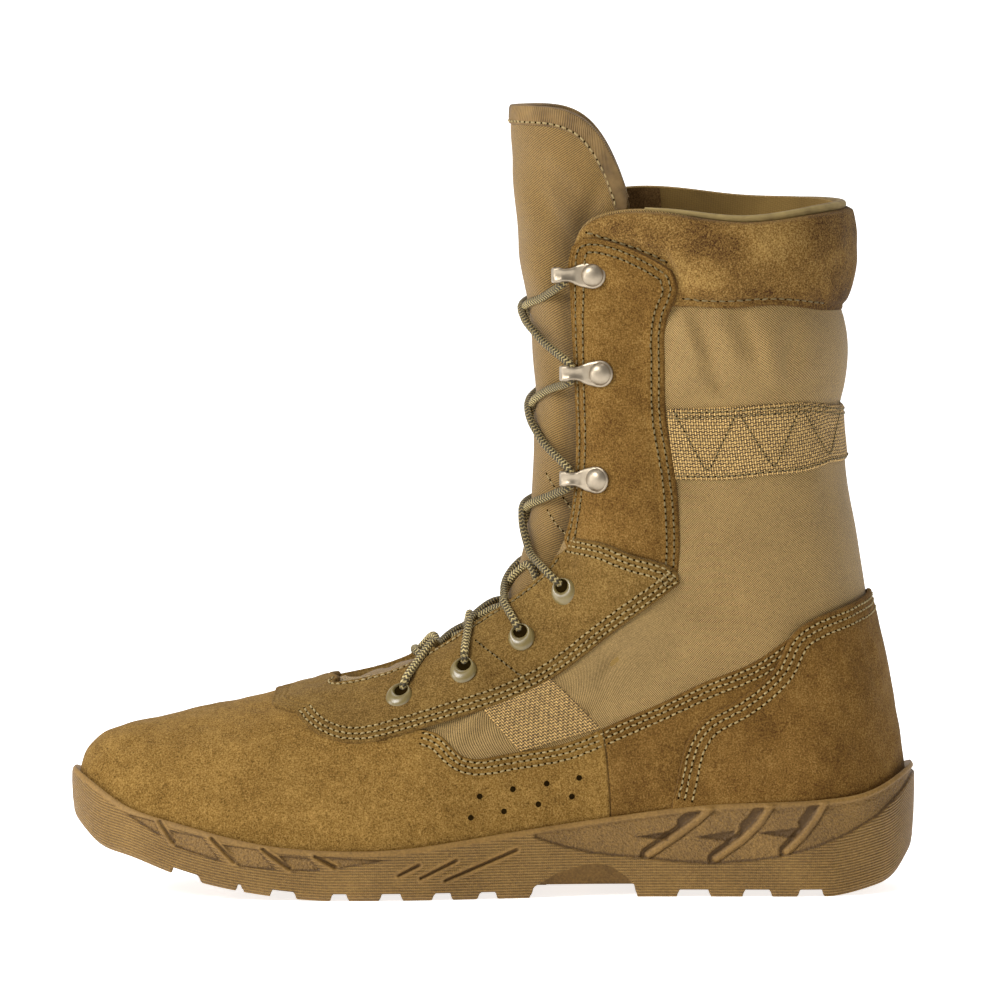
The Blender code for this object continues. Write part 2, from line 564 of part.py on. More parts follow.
# Eyelets and hooks: where they sit in the side view, from the toe up
EYELETS = [(-32.8, 70.1), (-10.2, 79.5), (10.2, 91.8), (25.6, 108.3)]
HOOKS = [(37.6, 148.4), (38.4, 186.2), (35.6, 221.1)]
HARD_GAP = 0.7          # a flat ring or button over the curved suede
EYELET_RING = [(2.1, 0.0), (2.1, 1.0), (2.9, 1.5), (4.0, 1.1), (4.7, 0.0)]       # radius, height
BUTTON = [(0.0, 2.6), (2.3, 2.2), (3.9, 1.2), (4.7, 0.2), (4.7, -0.1), (0.0, -0.1)]
STEM = [(2.0, 0.6), (7.5, 0.8), (10.5, 2.1), (13.2, 2.1), (14.7, 1.0), (14.2, -0.6)]     # forward, height
STEM_WIDE, STEM_THICK = 4.4, 0.9
TURNS = 8


def seat(place, height):
    """Frame on the form at an (angle, t) place: its point, forward over the throat, up and outward."""
    angle, t = place
    point, out = lifted(angle, t, height), outward(angle, t)
    forward = last(angle, t + 0.01) - last(angle, t)
    forward -= out * forward.dot(out)
    forward /= np.linalg.norm(forward)
    return point, forward, np.cross(out, forward), out


def turned(profile, closed):
    """Points and faces of a profile of (radius, height) turned round; closed joins its ends into a ring."""
    round_it = np.arange(TURNS) * 2 * np.pi / TURNS
    rings, points, faces = [], [], []
    for radius, height in profile:
        count = 1 if radius == 0 else TURNS
        rings.append(np.arange(count) + len(points))
        points += [(radius * np.cos(a), radius * np.sin(a), height) for a in round_it[:count]]
    pairs = list(zip(rings, rings[1:] + rings[:1])) if closed else list(zip(rings, rings[1:]))
    for upper, lower in pairs:
        if len(upper) == 1 or len(lower) == 1:
            tip, ring = (upper[0], lower) if len(upper) == 1 else (lower[0], upper)
            faces += [[tip, ring[k], ring[(k + 1) % TURNS]] for k in range(TURNS)]
        else:
            faces += strips(upper, lower, True)
    return np.array(points), faces


def build_hardware():
    button, button_faces = turned(BUTTON, False)
    ring, ring_faces = turned(EYELET_RING, True)
    stem = np.array(STEM)
    run = np.gradient(stem, axis=0)
    side = np.stack([-run[:, 1], run[:, 0]], -1) / np.linalg.norm(run, axis=1)[:, None] * STEM_THICK / 2
    bar = [np.column_stack([edge[:, 0], np.full(len(stem), wide * STEM_WIDE / 2), edge[:, 1]])
           for wide, edge in ((-1, stem + side), (1, stem + side), (1, stem - side), (-1, stem - side))]
    count = len(stem)
    bar_faces = [f for k in range(4) for f in strips(np.arange(count) + k * count,
                                                     np.arange(count) + (k + 1) % 4 * count, False)]
    bar_faces += [[k * count for k in range(4)], [k * count + count - 1 for k in range(4)]]
    for name, places, base in (("eyelet", EYELETS, SUEDE), ("hook", HOOKS, 0.0)):
        for number, place in enumerate(on_form(places), 1):
            for side_name, at in (("near", place), ("far", (360 - place[0], place[1]))):
                over = base * np.clip((92 - place[0]) / 8, 0, 1)
                point, forward, up, out = seat(at, over + SEAT + OVERLAY + HARD_GAP)
                if name == "hook":
                    forward = np.array([-1.0, 0, 0]) - out * -out[0]
                    forward /= np.linalg.norm(forward)
                    up = np.cross(out, forward)
                turn = np.stack([forward, up, out])
                label = "%s_%s_%d" % (name, side_name, number)
                if name == "eyelet":
                    piece = add_solid(label, point + ring @ turn, ring_faces)
                else:
                    piece = add_solid(label, point + button @ turn, button_faces)
                    tool = add_solid(label + "_stem", point + np.concatenate(bar) @ turn, bar_faces)
                    combine(piece, hidden(tool), "UNION")
                finish(piece, "painted_hardware")


# Lace: round cord in a bottom bar and a crossing between each pair of rows, clear of what it runs over
LACE = 2.5
# Where each crossing passes over the tongue: row of the tongue, rise to each side, height over the tongue
# and how far round its bend the cord lies on it
CROSSINGS = np.array([
    # row, rise, over, bend
    (2.70, 0.20, 5.6, 20.0), (4.00, 0.20, 3.8, 25.0), (4.90, 0.25, 3.4, 42.0), (5.75, 0.35, 3.4, 44.0),
    (6.75, 0.25, 3.3, 44.0), (7.75, 0.25, 3.3, 44.0)])
BAR_ROW, BAR_OVER, BAR_BEND = 1.95, 6.4, 20.0
UNDER = 0.47            # how far the strand behind lies below the one in front
LEAN = 3.0              # degrees a strand leans up or down where it leaves the eyestay
CORD_POINTS = 9
HOOK_REACH, HOOK_DROP = 11.6, 4.3     # where the cord passes a hook, forward of its button and beside its stem


def lace_ends():
    """Cord points on the near side at each eyelet and hook, outermost first: those of the strand that
    goes down from it and of the one that goes up."""
    ends = []
    for place in on_form(EYELETS):
        over = SUEDE * np.clip((92 - place[0]) / 8, 0, 1) + SEAT + OVERLAY + LACE / 2 + 0.8
        point, forward, _, _ = seat(place, over)
        along = last(place[0] + 1, place[1]) - last(place[0] - 1, place[1])
        along *= 1.7 / np.linalg.norm(along)
        ends.append([[point + forward * 7.4 + along * way, lifted(place[0] + LEAN * way, 1.0, over)]
                     for way in (-1, 1)])
    for place in on_form(HOOKS):
        point, _, _, out = seat(place, SEAT + OVERLAY + HARD_GAP)
        forward = np.array([-1.0, 0, 0]) + out * out[0]
        forward /= np.linalg.norm(forward)
        up = np.cross(out, forward) * (1 if np.cross(out, forward)[2] > 0 else -1)
        start = point + forward * HOOK_REACH + out * 0.6
        ends.append([[start - up * HOOK_DROP], [start + up * HOOK_DROP]])
    return ends


def cord(name, points):
    """Round cord along points in millimetres, as a closed mesh object."""
    curve = bpy.data.curves.new(name, "CURVE")
    curve.dimensions, curve.bevel_depth, curve.bevel_resolution, curve.use_fill_caps = "3D", LACE / 2 * MM, 1, True
    line = curve.splines.new("POLY")
    line.points.add(len(points) - 1)
    for spot, place in zip(line.points, points):
        spot.co = (*(np.asarray(place) * MM), 1.0)
    tube = bpy.data.objects.new(name + "_curve", curve)
    PARTS.objects.link(tube)
    bpy.context.view_layer.update()
    mesh = bpy.data.meshes.new_from_object(tube.evaluated_get(bpy.context.evaluated_depsgraph_get()))
    bpy.data.objects.remove(tube, do_unlink=True)
    shape = bmesh.new()
    shape.from_mesh(mesh)
    bmesh.ops.remove_doubles(shape, verts=shape.verts, dist=1e-6)
    bmesh.ops.recalc_face_normals(shape, faces=shape.faces)
    shape.to_mesh(mesh)
    shape.free()
    piece = bpy.data.objects.new(name, mesh)
    PARTS.objects.link(piece)
    return piece


def over_tongue(row, rise, over, bend):
    """Cord points over the tongue from the near side to the far side."""
    share = np.linspace(-1, 1, 3)
    rows, bends = row + rise * share, np.radians(bend) * share
    return tongue_at(rows, bends) - tongue_inward(rows, bends) * over


def strand(start, middle, stop):
    """Smooth run of cord points through those at its two ends and over the tongue."""
    points = np.concatenate([start, middle, stop])
    return spline(np.arange(len(points)), points, np.linspace(0, len(points) - 1, CORD_POINTS))


def build_laces():
    ends = lace_ends()
    flip = np.array([1.0, -1.0, 1.0])
    side = np.array(ends[0][0])
    bar = over_tongue(BAR_ROW, 0.0, BAR_OVER, BAR_BEND)
    finish(cord("lace_bar", strand(side, bar, side[::-1] * flip)), "lace_cord")
    for number, (row, rise, over, bend) in enumerate(CROSSINGS):
        start, stop = np.array(ends[number][1]), np.array(ends[number + 1][0])[::-1] * flip
        front = strand(start, over_tongue(row, rise, over, bend), stop)
        back = strand(start, over_tongue(row, rise, over - UNDER, bend), stop) * flip
        name = "lace_crossing_%d" % (number + 1)
        piece = cord(name, front)
        combine(piece, hidden(cord(name + "_back", back)), "UNION")
        finish(piece, "lace_cord")


build_sole()
build_insole()
build_upper()
build_tongue()
build_overlays()
build_hardware()
build_laces()

# Every piece hangs from one empty at the shoe's origin
root = bpy.data.objects.new("boot_origin", None)
PARTS.objects.link(root)
for piece in list(PARTS.objects):
    if piece is not root:
        piece.parent = root
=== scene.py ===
import bpy
import numpy as np
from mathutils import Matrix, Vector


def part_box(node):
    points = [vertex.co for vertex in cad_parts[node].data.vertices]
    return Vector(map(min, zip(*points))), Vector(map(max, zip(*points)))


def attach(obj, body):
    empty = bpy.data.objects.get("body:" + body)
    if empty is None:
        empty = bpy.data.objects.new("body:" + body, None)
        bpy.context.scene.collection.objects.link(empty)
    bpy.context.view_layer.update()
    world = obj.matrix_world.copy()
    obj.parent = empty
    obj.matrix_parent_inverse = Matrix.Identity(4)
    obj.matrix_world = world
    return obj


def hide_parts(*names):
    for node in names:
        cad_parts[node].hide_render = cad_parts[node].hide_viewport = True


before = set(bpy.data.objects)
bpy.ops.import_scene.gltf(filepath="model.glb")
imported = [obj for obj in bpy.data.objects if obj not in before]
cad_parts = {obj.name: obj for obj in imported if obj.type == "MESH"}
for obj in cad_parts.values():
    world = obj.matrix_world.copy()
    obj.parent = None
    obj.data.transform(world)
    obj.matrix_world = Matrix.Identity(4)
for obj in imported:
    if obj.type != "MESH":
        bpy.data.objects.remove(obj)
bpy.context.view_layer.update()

# Camera, light and floor: a long lens on the boot's inner side, square to its length and a little above
# the floor. The key light and a low one stand on the toe's side, a weak fill on the heel's side and a broad
# light overhead, and a white floor runs up into a backdrop.
MM = 0.001
PIXEL = 0.35824                 # millimetres of the boot to a pixel of the picture
VIEW_FROM, VIEW_RISE, VIEW_END = 4000.0, np.radians(4.0), 40.0
VIEW_CENTRE = np.array([2.3, 0.0, 139.0])
scene = bpy.context.scene
scene.view_settings.view_transform = "Standard"
camera = bpy.data.objects.new("camera", bpy.data.cameras.new("camera"))
camera.data.lens = camera.data.sensor_width * VIEW_FROM / (1000 * PIXEL)
camera.data.clip_end = VIEW_END
camera.location = (VIEW_CENTRE + VIEW_FROM * np.array([0, -np.cos(VIEW_RISE), np.sin(VIEW_RISE)])) * MM
camera.rotation_euler = (np.pi / 2 - VIEW_RISE, 0, 0)
scene.collection.objects.link(camera)
scene.camera = camera

LIGHTS_AIM = np.array([0.0, 0.0, 0.12])
LIGHTS = {  # place in metres, width, power
    "key_light": ((-1.15, -1.0, 1.15), 0.8, 30.0),
    "fill_light": ((1.3, -1.5, 0.8), 1.2, 1.2),
    "top_light": ((0.1, 0.2, 1.6), 1.2, 11.0),
    "toe_light": ((-1.7, -0.45, 0.4), 0.7, 8.0)}
for name, (place, width, power) in LIGHTS.items():
    light = bpy.data.objects.new(name, bpy.data.lights.new(name, "AREA"))
    light.data.shape, light.data.size, light.data.energy = "DISK", width, power
    light.location = place
    toward = LIGHTS_AIM - place
    flat = np.hypot(toward[0], toward[1])
    light.rotation_euler = (np.arctan2(flat, -toward[2]), 0, np.arctan2(-toward[0], toward[1]))
    scene.collection.objects.link(light)
world = bpy.data.worlds.new("studio")
world.use_nodes = True
world.node_tree.nodes["Background"].inputs["Color"].default_value = (1.0, 0.985, 0.96, 1.0)
world.node_tree.nodes["Background"].inputs["Strength"].default_value = 0.26
scene.world = world


def add_piece(name, points, faces, uv=None, material=None):
    """Smooth mesh object from points in millimetres and an array of faces, all with the same number of
    corners; uv holds one pair for each point."""
    mesh = bpy.data.meshes.new(name)
    points, faces = np.asarray(points, float).reshape(-1, 3), np.asarray(faces)
    mesh.vertices.add(len(points))
    mesh.vertices.foreach_set("co", (points * MM).ravel())
    mesh.loops.add(faces.size)
    mesh.loops.foreach_set("vertex_index", faces.ravel())
    mesh.polygons.add(len(faces))
    mesh.polygons.foreach_set("loop_start", np.arange(len(faces)) * faces.shape[1])
    if uv is not None:
        layer = mesh.uv_layers.new(name="cloth")
        layer.uv.foreach_set("vector", np.asarray(uv, float).reshape(-1, 2)[faces.ravel()].ravel())
    mesh.update(calc_edges=True)
    mesh.validate()
    mesh.shade_smooth()
    mesh.materials.append(material)
    piece = bpy.data.objects.new(name, mesh)
    scene.collection.objects.link(piece)
    return piece


def grid_faces(rows, columns, around=False):
    """Four-cornered faces over a grid of rows and columns; around joins the last column to the first."""
    index = np.arange(rows * columns).reshape(rows, columns)
    if around:
        index = np.concatenate([index, index[:, :1]], 1)
    return np.stack([index[:-1, :-1], index[:-1, 1:], index[1:, 1:], index[1:, :-1]], -1).reshape(-1, 4)


def new_material(name, roughness, **constants):
    """Material with one shader, its constants given by the sockets' names; returns it and its node tree."""
    material = bpy.data.materials.new(name)
    material.use_nodes = True
    shader = material.node_tree.nodes["Principled BSDF"]
    shader.inputs["Roughness"].default_value = roughness
    for socket, value in constants.items():
        shader.inputs[socket.replace("_", " ")].default_value = value
    return material, material.node_tree


def node(tree, kind, inputs=(), out=0, **settings):
    """Add a node with its settings and inputs (values or sockets, by name or number); gives an output."""
    made = tree.nodes.new("ShaderNode" + kind)
    for key, value in settings.items():
        setattr(made, key, value)
    for key, value in dict(inputs).items():
        if isinstance(value, bpy.types.NodeSocket):
            tree.links.new(value, made.inputs[key])
        else:
            made.inputs[key].default_value = value
    return made.outputs[out]


def noise(tree, size, detail=3.0, roughness=0.55):
    """Noise over the piece's own place in space, its features about size metres across."""
    place = node(tree, "TexCoord", out="Object")
    return node(tree, "TexNoise",
                {"Vector": place, "Scale": 1 / size, "Detail": detail, "Roughness": roughness})


def dye(tree, value, *stops):
    """Colour the shader along a value; the stops are (place, red, green, blue). Gives the colour."""
    made = tree.nodes.new("ShaderNodeValToRGB")
    tree.links.new(value, made.inputs[0])
    while len(made.color_ramp.elements) < len(stops):
        made.color_ramp.elements.new(0.5)
    for element, (place, *colour) in zip(made.color_ramp.elements, stops):
        element.position, element.color = place, (*colour, 1.0)
    tree.links.new(made.outputs[0], tree.nodes["Principled BSDF"].inputs["Base Color"])
    return made.outputs[0]


BACKDROP_WIDE, BACKDROP_DEEP, BACKDROP_RISE, BACKDROP_BEND = 20000.0, 8500.0, 10000.0, 1800.0
FLOOR_FROM, FLOOR_DROP = -17000.0, 0.05     # it lies a little under the lugs, so that no faces coincide
sweep = np.linspace(0, np.pi / 2, 13)
bend = np.stack([BACKDROP_DEEP - BACKDROP_BEND * (1 - np.sin(sweep)),
                 BACKDROP_BEND * (1 - np.cos(sweep))], -1)
line = np.concatenate([[[FLOOR_FROM, 0]], bend, [[BACKDROP_DEEP, BACKDROP_RISE]]])
floor_points = np.stack([np.broadcast_to((-BACKDROP_WIDE, BACKDROP_WIDE), (len(line), 2)),
                         np.repeat(line[:, :1], 2, 1), np.repeat(line[:, 1:] - FLOOR_DROP, 2, 1)], -1)
# It shines a little like a light table, so that the boot throws little shadow
white, tree = new_material("backdrop_white", 0.9, Emission_Strength=0.8)
glow = dye(tree, noise(tree, 0.4), (0.4, 0.93, 0.93, 0.93), (0.6, 0.95, 0.95, 0.95))
tree.links.new(glow, tree.nodes["Principled BSDF"].inputs["Emission Color"])
add_piece("backdrop", floor_points, grid_faces(len(line), 2), material=white)


# Outsole: one moulded rubber unit cemented to the upper. Its wall is finely ribbed, with recessed
# windows at the forefoot, a pebbled panel with slanting bars at the heel, a cut-out arch and lugs.
low_corner, high_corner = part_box("outsole")
SOLE_LENGTH = float(high_corner[0] - low_corner[0]) / MM
TOE_ROUND, HEEL_ROUND = 74.0, 42.0
PLAN = np.array([
    # x, centre, half breadth
    (-151, -7.5, 43.0), (-120, -5.0, 45.5), (-90, -3.0, 49.0), (-55, -1.4, 52.3),
    (-30, 0.6, 53.0), (20, 2.0, 43.5), (60, 1.5, 39.5), (110, 0.0, 38.5), (151, 0.0, 37.0)])
HEIGHTS = np.array([
    # x, rim, tread
    (-151, 44.5, 26.0), (-143, 39.5, 18.5), (-133, 33.2, 15.0), (-117, 28.0, 9.6), (-101, 24.0, 5.2),
    (-85, 20.5, 2.4), (-60, 18.0, 0.0), (-30, 18.7, 0.0), (-12, 21.0, 0.0), (7, 23.8, 0.0),
    (44, 29.0, 0.0), (78, 33.0, 0.0), (105, 34.0, 0.0), (121, 35.0, 0.0), (137, 38.0, 3.0),
    (146, 42.5, 7.5), (151, 45.5, 14.0)])
FLAT_FROM, FLAT_TO = -60.0, 121.0
SOLE_WALL = np.array([
    # share of the way down, inset
    (0.00, 1.3), (0.02, 0.75), (0.05, 0.35), (0.12, 0.05), (0.30, 0.0), (0.60, 0.25), (0.85, 0.8),
    (0.94, 1.3), (1.00, 2.4)])
BED_INSET, BED_DROP = 4.4, 1.0              # the rim's inner edge, in from the outline and below its crest
LUG_DEPTH = 2.6
LUG_GAPS = np.array([
    # from, to
    (-114.8, -104.8), (-91.4, -89.4), (-79.0, -70.4), (-57.5, -51.8), (-39.9, -32.4), (-21.0, -14.5),
    (-4.8, 1.6), (65.7, 76.8), (89.0, 98.7), (108.7, 117.7)])
SLOT_Y, SLOT_HALF, SLOT_DEPTH = 15.5, 2.0, 2.0      # the two lengthways slots through the lugs
SLOT_END, SHANK_X, SHANK_HALF = 118.0, 33.0, 26.0   # they stop before toe and heel, and at the shank
ARCH = np.array([
    # x, z
    (13.0, -1.0), (14.5, 4.0), (22.0, 8.6), (31.0, 11.5), (37.5, 12.2), (42.5, 10.8), (47.5, 7.2),
    (50.4, 4.0), (51.5, -1.0)])
ARCH_DEPTH, ARCH_CEILING = 9.0, 3.6
# Forefoot windows, as corners in the side view, and the slits between and behind them
WINDOWS = [
    [(-131.7, 30.1), (-120.5, 27.6), (-118.0, 21.9)],
    [(-115.2, 24.7), (-103.4, 22.6), (-96.2, 13.6), (-113.0, 18.6)],
    [(-96.2, 20.1), (-83.6, 18.6), (-76.8, 11.1), (-90.1, 12.2)],
    [(-76.1, 16.5), (-65.7, 15.8), (-61.1, 11.1), (-71.5, 10.7)],
    [(-62.5, 16.1), (-36.7, 14.7), (-56.1, 11.5)]]
SLITS = np.array([
    # x1, z1, x2, z2
    (-118.8, 27.6, -113.7, 20.4), (-100.1, 22.2, -91.9, 14.0), (-81.9, 18.6, -72.2, 11.8),
    (-63.2, 16.1, -56.1, 12.2), (-33.5, 9.3, -26.3, 12.9), (-25.6, 8.2, -13.1, 14.3),
    (-17.0, 7.2, 8.4, 17.6)])
PANEL_LOW = np.array([
    # x, z
    (14.5, 21.7), (23.8, 18.6), (34.9, 15.8), (43.9, 14.7), (52.8, 14.0), (65.4, 12.5), (78.3, 11.8),
    (92.2, 12.9), (102.3, 14.3), (113.4, 17.2), (126.6, 22.2), (137.0, 27.9), (146.0, 35.8), (151.0, 42.0)])
BARS = [
    # x, z from the foot to the top
    [(55.2, 15.2), (66.0, 22.6), (72.6, 27.6), (77.0, 31.6)],
    [(79.2, 13.8), (88.6, 20.6), (94.6, 26.6), (98.9, 33.2)],
    [(104.3, 16.3), (110.4, 22.4), (114.8, 28.2), (118.0, 33.6)]]
BAR_WIDE, BAR_RISE, TROUGH_LEFT, TROUGH_UPPER, TROUGH_RIGHT, TROUGH_SINK = 1.5, 1.7, 2.9, 4.5, 1.8, 0.9
WEDGES = [
    # tip x, z, and the two corners in the trough
    [(51.8, 21.6), (63.0, 23.4), (61.8, 20.4)],
    [(72.6, 21.4), (85.6, 23.6), (84.4, 20.0)],
    [(95.0, 22.9), (108.4, 24.6), (107.2, 21.2)]]
PANEL_SINK, WINDOW_SINK, SLIT_SINK, WEDGE_SINK, LIP = 0.9, 0.85, 1.0, 0.9, 1.9
RAISED = 0.35                   # height of the raised lines beside slits and troughs


def spline(knots, values, at, period=None):
    """Cubic curve through the rows, read at the places given: free ends, or closed with a period."""
    knots, values, at = np.asarray(knots, float), np.asarray(values, float), np.asarray(at, float)
    if period:
        knots = np.concatenate([knots[-4:] - period, knots, knots[:4] + period])
        values = np.concatenate([values[-4:], values, values[:4]])
        at = np.mod(at, period)
    count, step = len(knots), np.diff(knots)
    system, right = np.eye(count), np.zeros_like(values)
    inner = np.arange(1, count - 1)
    system[inner, inner - 1], system[inner, inner + 1] = step[:-1], step[1:]
    system[inner, inner] = 2 * (step[:-1] + step[1:])
    slope = np.diff(values, axis=0) / step[:, None]
    right[inner] = 6 * np.diff(slope, axis=0)
    bend = np.linalg.solve(system, right)
    k = np.clip(np.searchsorted(knots, at, side="right") - 1, 0, count - 2)
    b = ((at - knots[k]) / step[k])[..., None]
    a, sixth = 1 - b, step[k][..., None] ** 2 / 6
    return a * values[k] + b * values[k + 1] + ((a ** 3 - a) * bend[k] + (b ** 3 - b) * bend[k + 1]) * sixth


def unit(vectors):
    """Vectors over their own lengths."""
    return vectors / np.linalg.norm(vectors, axis=-1, keepdims=True)


def walked(points, axis=0):
    """Length walked along one axis of an array of points, from zero at its start."""
    steps = np.linalg.norm(np.diff(points, axis=axis), axis=-1)
    return np.concatenate([np.zeros_like(steps.take([0], axis)), np.cumsum(steps, axis)], axis)


def plan(angle, inset=0.0):
    """Outline of the sole from above, moved in by the inset: half the breadth either side of the centre
    line, closed at toe and heel as part of a circle. The angle runs from the toe by the inner side to the
    heel."""
    def edge(a):
        """Point of the outline itself, with x as the cosine of the angle."""
        x = -SOLE_LENGTH / 2 * np.cos(np.radians(a))
        centre, half = np.moveaxis(spline(PLAN[:, 0], PLAN[:, 1:], x), -1, 0)
        toe = np.clip(1 - (x + SOLE_LENGTH / 2) / TOE_ROUND, 0, 1)
        heel = np.clip(1 - (SOLE_LENGTH / 2 - x) / HEEL_ROUND, 0, 1)
        close = np.sqrt((1 - toe ** 2) * (1 - heel ** 2))
        return np.stack([x, centre - half * close * np.sign(np.sin(np.radians(a)))], -1)
    angle = np.asarray(angle, float)
    along = unit(edge(angle + 0.05) - edge(angle - 0.05))
    inward = np.stack([-along[..., 1], along[..., 0]], -1)
    return edge(angle) + inward * np.asarray(inset, float)[..., None]


def sole_heights(x):
    """Rim and tread heights of the sole at x; the tread is flat where the boot stands."""
    rim, tread = np.moveaxis(spline(HEIGHTS[:, 0], HEIGHTS[:, 1:], x), -1, 0)
    return rim, np.where((x > FLAT_FROM) & (x < FLAT_TO), 0.0, np.maximum(tread, 0.0))


def soft(value, width):
    """Step from 0 to 1 that eases over the width about zero."""
    s = np.clip(value / width + 0.5, 0, 1)
    return s * s * (3 - 2 * s)


def hump(value, width, power=2):
    """Bell of height 1 about zero: e to the minus power of the value over the width."""
    return np.exp(-(value / width) ** power)


def inside(x, z, corners):
    """How far a place is inside a convex outline: its least distance from the sides' lines."""
    corners = np.asarray(corners, float)
    ends = np.roll(corners, -1, 0)
    turn = np.sign(np.sum(corners[:, 0] * ends[:, 1] - ends[:, 0] * corners[:, 1]))
    side = unit(ends - corners) * turn
    return np.min([d[0] * (z - c[1]) - d[1] * (x - c[0]) for c, d in zip(corners, side)], axis=0)


def off_line(x, z, line):
    """Distance from a straight line (x1, z1, x2, z2) in the side view, and the share of the way along."""
    start, run = np.array(line[:2]), np.array(line[2:]) - line[:2]
    share = np.clip(((x - start[0]) * run[0] + (z - start[1]) * run[1]) / run.dot(run), 0, 1)
    return np.hypot(x - start[0] - share * run[0], z - start[1] - share * run[1]), share


def lug_cut(x):
    """How deep the gaps between the lugs are at x: 1 in a gap, 0 on a lug."""
    return np.max([soft(x - a, 1.1) * soft(b - x, 1.1) for a, b in LUG_GAPS], axis=0)


def off_bar(x, z, points):
    """Distance from a bar's bent line, the share of the way along it, and above nothing on its left side."""
    away, share, left = np.full(x.shape, 99.0), np.zeros(x.shape), np.zeros(x.shape)
    for k, (start, stop) in enumerate(zip(points[:-1], points[1:])):
        near, along = off_line(x, z, (*start, *stop))
        turn = (stop[0] - start[0]) * (z - start[1]) - (stop[1] - start[1]) * (x - start[0])
        closer = near < away
        away, left = np.where(closer, near, away), np.where(closer, turn, left)
        share = np.where(closer, (k + along) / (len(points) - 1), share)
    return away, share, left


def wall_relief(x, z, rim):
    """Height of the wall's moulded pattern at a place in the side view, and how far it is pebbled and
    ribbed, and how much painted shade darkens it in grooves, slits and troughs."""
    low = np.interp(x, PANEL_LOW[:, 0], PANEL_LOW[:, 1], left=99.0)
    panel = soft(z - low, 0.45) * soft(rim - LIP - z, 0.5)
    height, pebble = -PANEL_SINK * panel, panel.copy()
    groove_shade = hump(z - low - 0.3, 0.4) * soft(rim - LIP - z, 0.5)
    for corners in WINDOWS:
        depth = inside(x, z, corners)
        hole = soft(depth - 0.2, 0.45)
        height, pebble = height - WINDOW_SINK * hole, np.maximum(pebble, hole)
        groove_shade = np.maximum(groove_shade, 0.8 * hump(depth - 0.25, 0.35))
    smooth = soft(z - rim + LIP, 0.6)
    for line in SLITS:
        away, share = off_line(x, z, line)
        beside = hump(away, 1.7, 6)
        height = height - SLIT_SINK * hump(away, 0.4 + 0.2 * share, 4) + RAISED * hump(away - 1.25, 0.5)
        smooth = np.maximum(smooth, beside)
        groove_shade = np.maximum(groove_shade, hump(away, 0.55, 4))
        pebble = pebble * (1 - beside)
    for corners in WEDGES:
        depth = inside(x, z, corners)
        height = height - WEDGE_SINK * soft(depth, 0.5)
        groove_shade = np.maximum(groove_shade, soft(depth + 0.2, 0.5))
    for points in BARS:
        away, share, left = off_bar(x, z, points)
        wider = (TROUGH_UPPER - TROUGH_LEFT) * soft(share - 0.42, 0.1) * soft(0.93 - share, 0.12)
        reach = np.where(left > 0, TROUGH_LEFT + wider, TROUGH_RIGHT)
        trough = soft(reach - away, 0.5) * panel
        bar = np.sqrt(np.clip(1 - (away / BAR_WIDE) ** 2, 0, 1)) * soft(rim - 0.8 - z, 0.8)
        rim_line = hump(away - reach - 0.35, 0.4) * panel * (left > 0)
        height = height - TROUGH_SINK * trough + BAR_RISE * bar + RAISED * rim_line
        pebble = pebble * (1 - np.maximum(trough, bar))
        smooth = np.maximum(smooth, bar)
        groove_shade = np.maximum(groove_shade, trough * (1 - bar) * (soft(left + 0.2, 1.0) + 0.5))
    return height, pebble, np.clip(1 - np.maximum(smooth, pebble) - panel, 0, 1), np.clip(groove_shade, 0, 1)


def even_angles(count, start, stop):
    """Angles round the plan at equal steps of its length, and that length."""
    fine = np.linspace(start, stop, 4000)
    walk = walked(plan(fine))
    return np.interp(np.linspace(0, walk[-1], count), walk, fine), walk[-1]


def calc(tree, operation, first, second=0.0):
    """One sum of two numbers or sockets."""
    return node(tree, "Math", {0: first, 1: second}, operation=operation)


def blend(tree, *terms, plus=0.0):
    """Sum of numbers or sockets, each times its factor, and a constant."""
    for value, factor in terms:
        plus = node(tree, "Math", {0: value, 1: factor, 2: plus}, operation="MULTIPLY_ADD")
    return plus


def sine(tree, value, length, operation="SINE"):
    """Sine or cosine of a value, with a wave of the length given."""
    return calc(tree, operation, calc(tree, "MULTIPLY", value, 2 * np.pi / length))


def tagged(tree, name):
    """The number that a piece stores for each of its points under a name."""
    return node(tree, "Attribute", attribute_name=name, out="Fac")


def cloth_map(tree):
    """The two numbers of the piece's own cloth map, across and along."""
    split = tree.nodes.new("ShaderNodeSeparateXYZ")
    tree.links.new(node(tree, "UVMap", uv_map="cloth"), split.inputs[0])
    return split.outputs["X"], split.outputs["Y"]


def bump(tree, height, strength, distance):
    """Raise the shader's surface by a height."""
    raised = node(tree, "Bump", {"Height": height, "Strength": strength, "Distance": distance})
    tree.links.new(raised, tree.nodes["Principled BSDF"].inputs["Normal"])


RIB_PITCH, RIB_STEP = 1.0, 0.7  # of the fine ribs and of the notches along them, in millimetres
rubber, tree = new_material("sole_rubber", 0.62, Specular_IOR_Level=0.35)
across, along = cloth_map(tree)
pebbled = tagged(tree, "pebble")
rib = blend(tree, (sine(tree, across, RIB_STEP), 0.18), (sine(tree, along, RIB_PITCH), 1.0))
rib = calc(tree, "MULTIPLY", rib, tagged(tree, "ribbed"))
grain = node(tree, "TexVoronoi", {"Vector": node(tree, "TexCoord", out="Object"), "Scale": 1500.0},
             feature="SMOOTH_F1")
pebbles = calc(tree, "MULTIPLY", blend(tree, (grain, -1.1), plus=0.55), pebbled)
bump(tree, blend(tree, (rib, 0.55), (pebbles, 1.0)), 1.0, 0.0004)
# Painted light: rib and pebble crests are lighter than their dips, and painted shade darkens the grooves and
# the tread; the pebbled panels are darker.
tone = blend(tree, (noise(tree, 0.02), 0.4), (noise(tree, 0.0008), 0.6), (rib, 0.17), (pebbles, 0.16),
             (pebbled, -0.12), (tagged(tree, "groove_shade"), -0.3))
dye(tree, tone, (0.2, 0.077, 0.038, 0.007), (0.5, 0.195, 0.106, 0.0235), (0.8, 0.31, 0.180, 0.046))


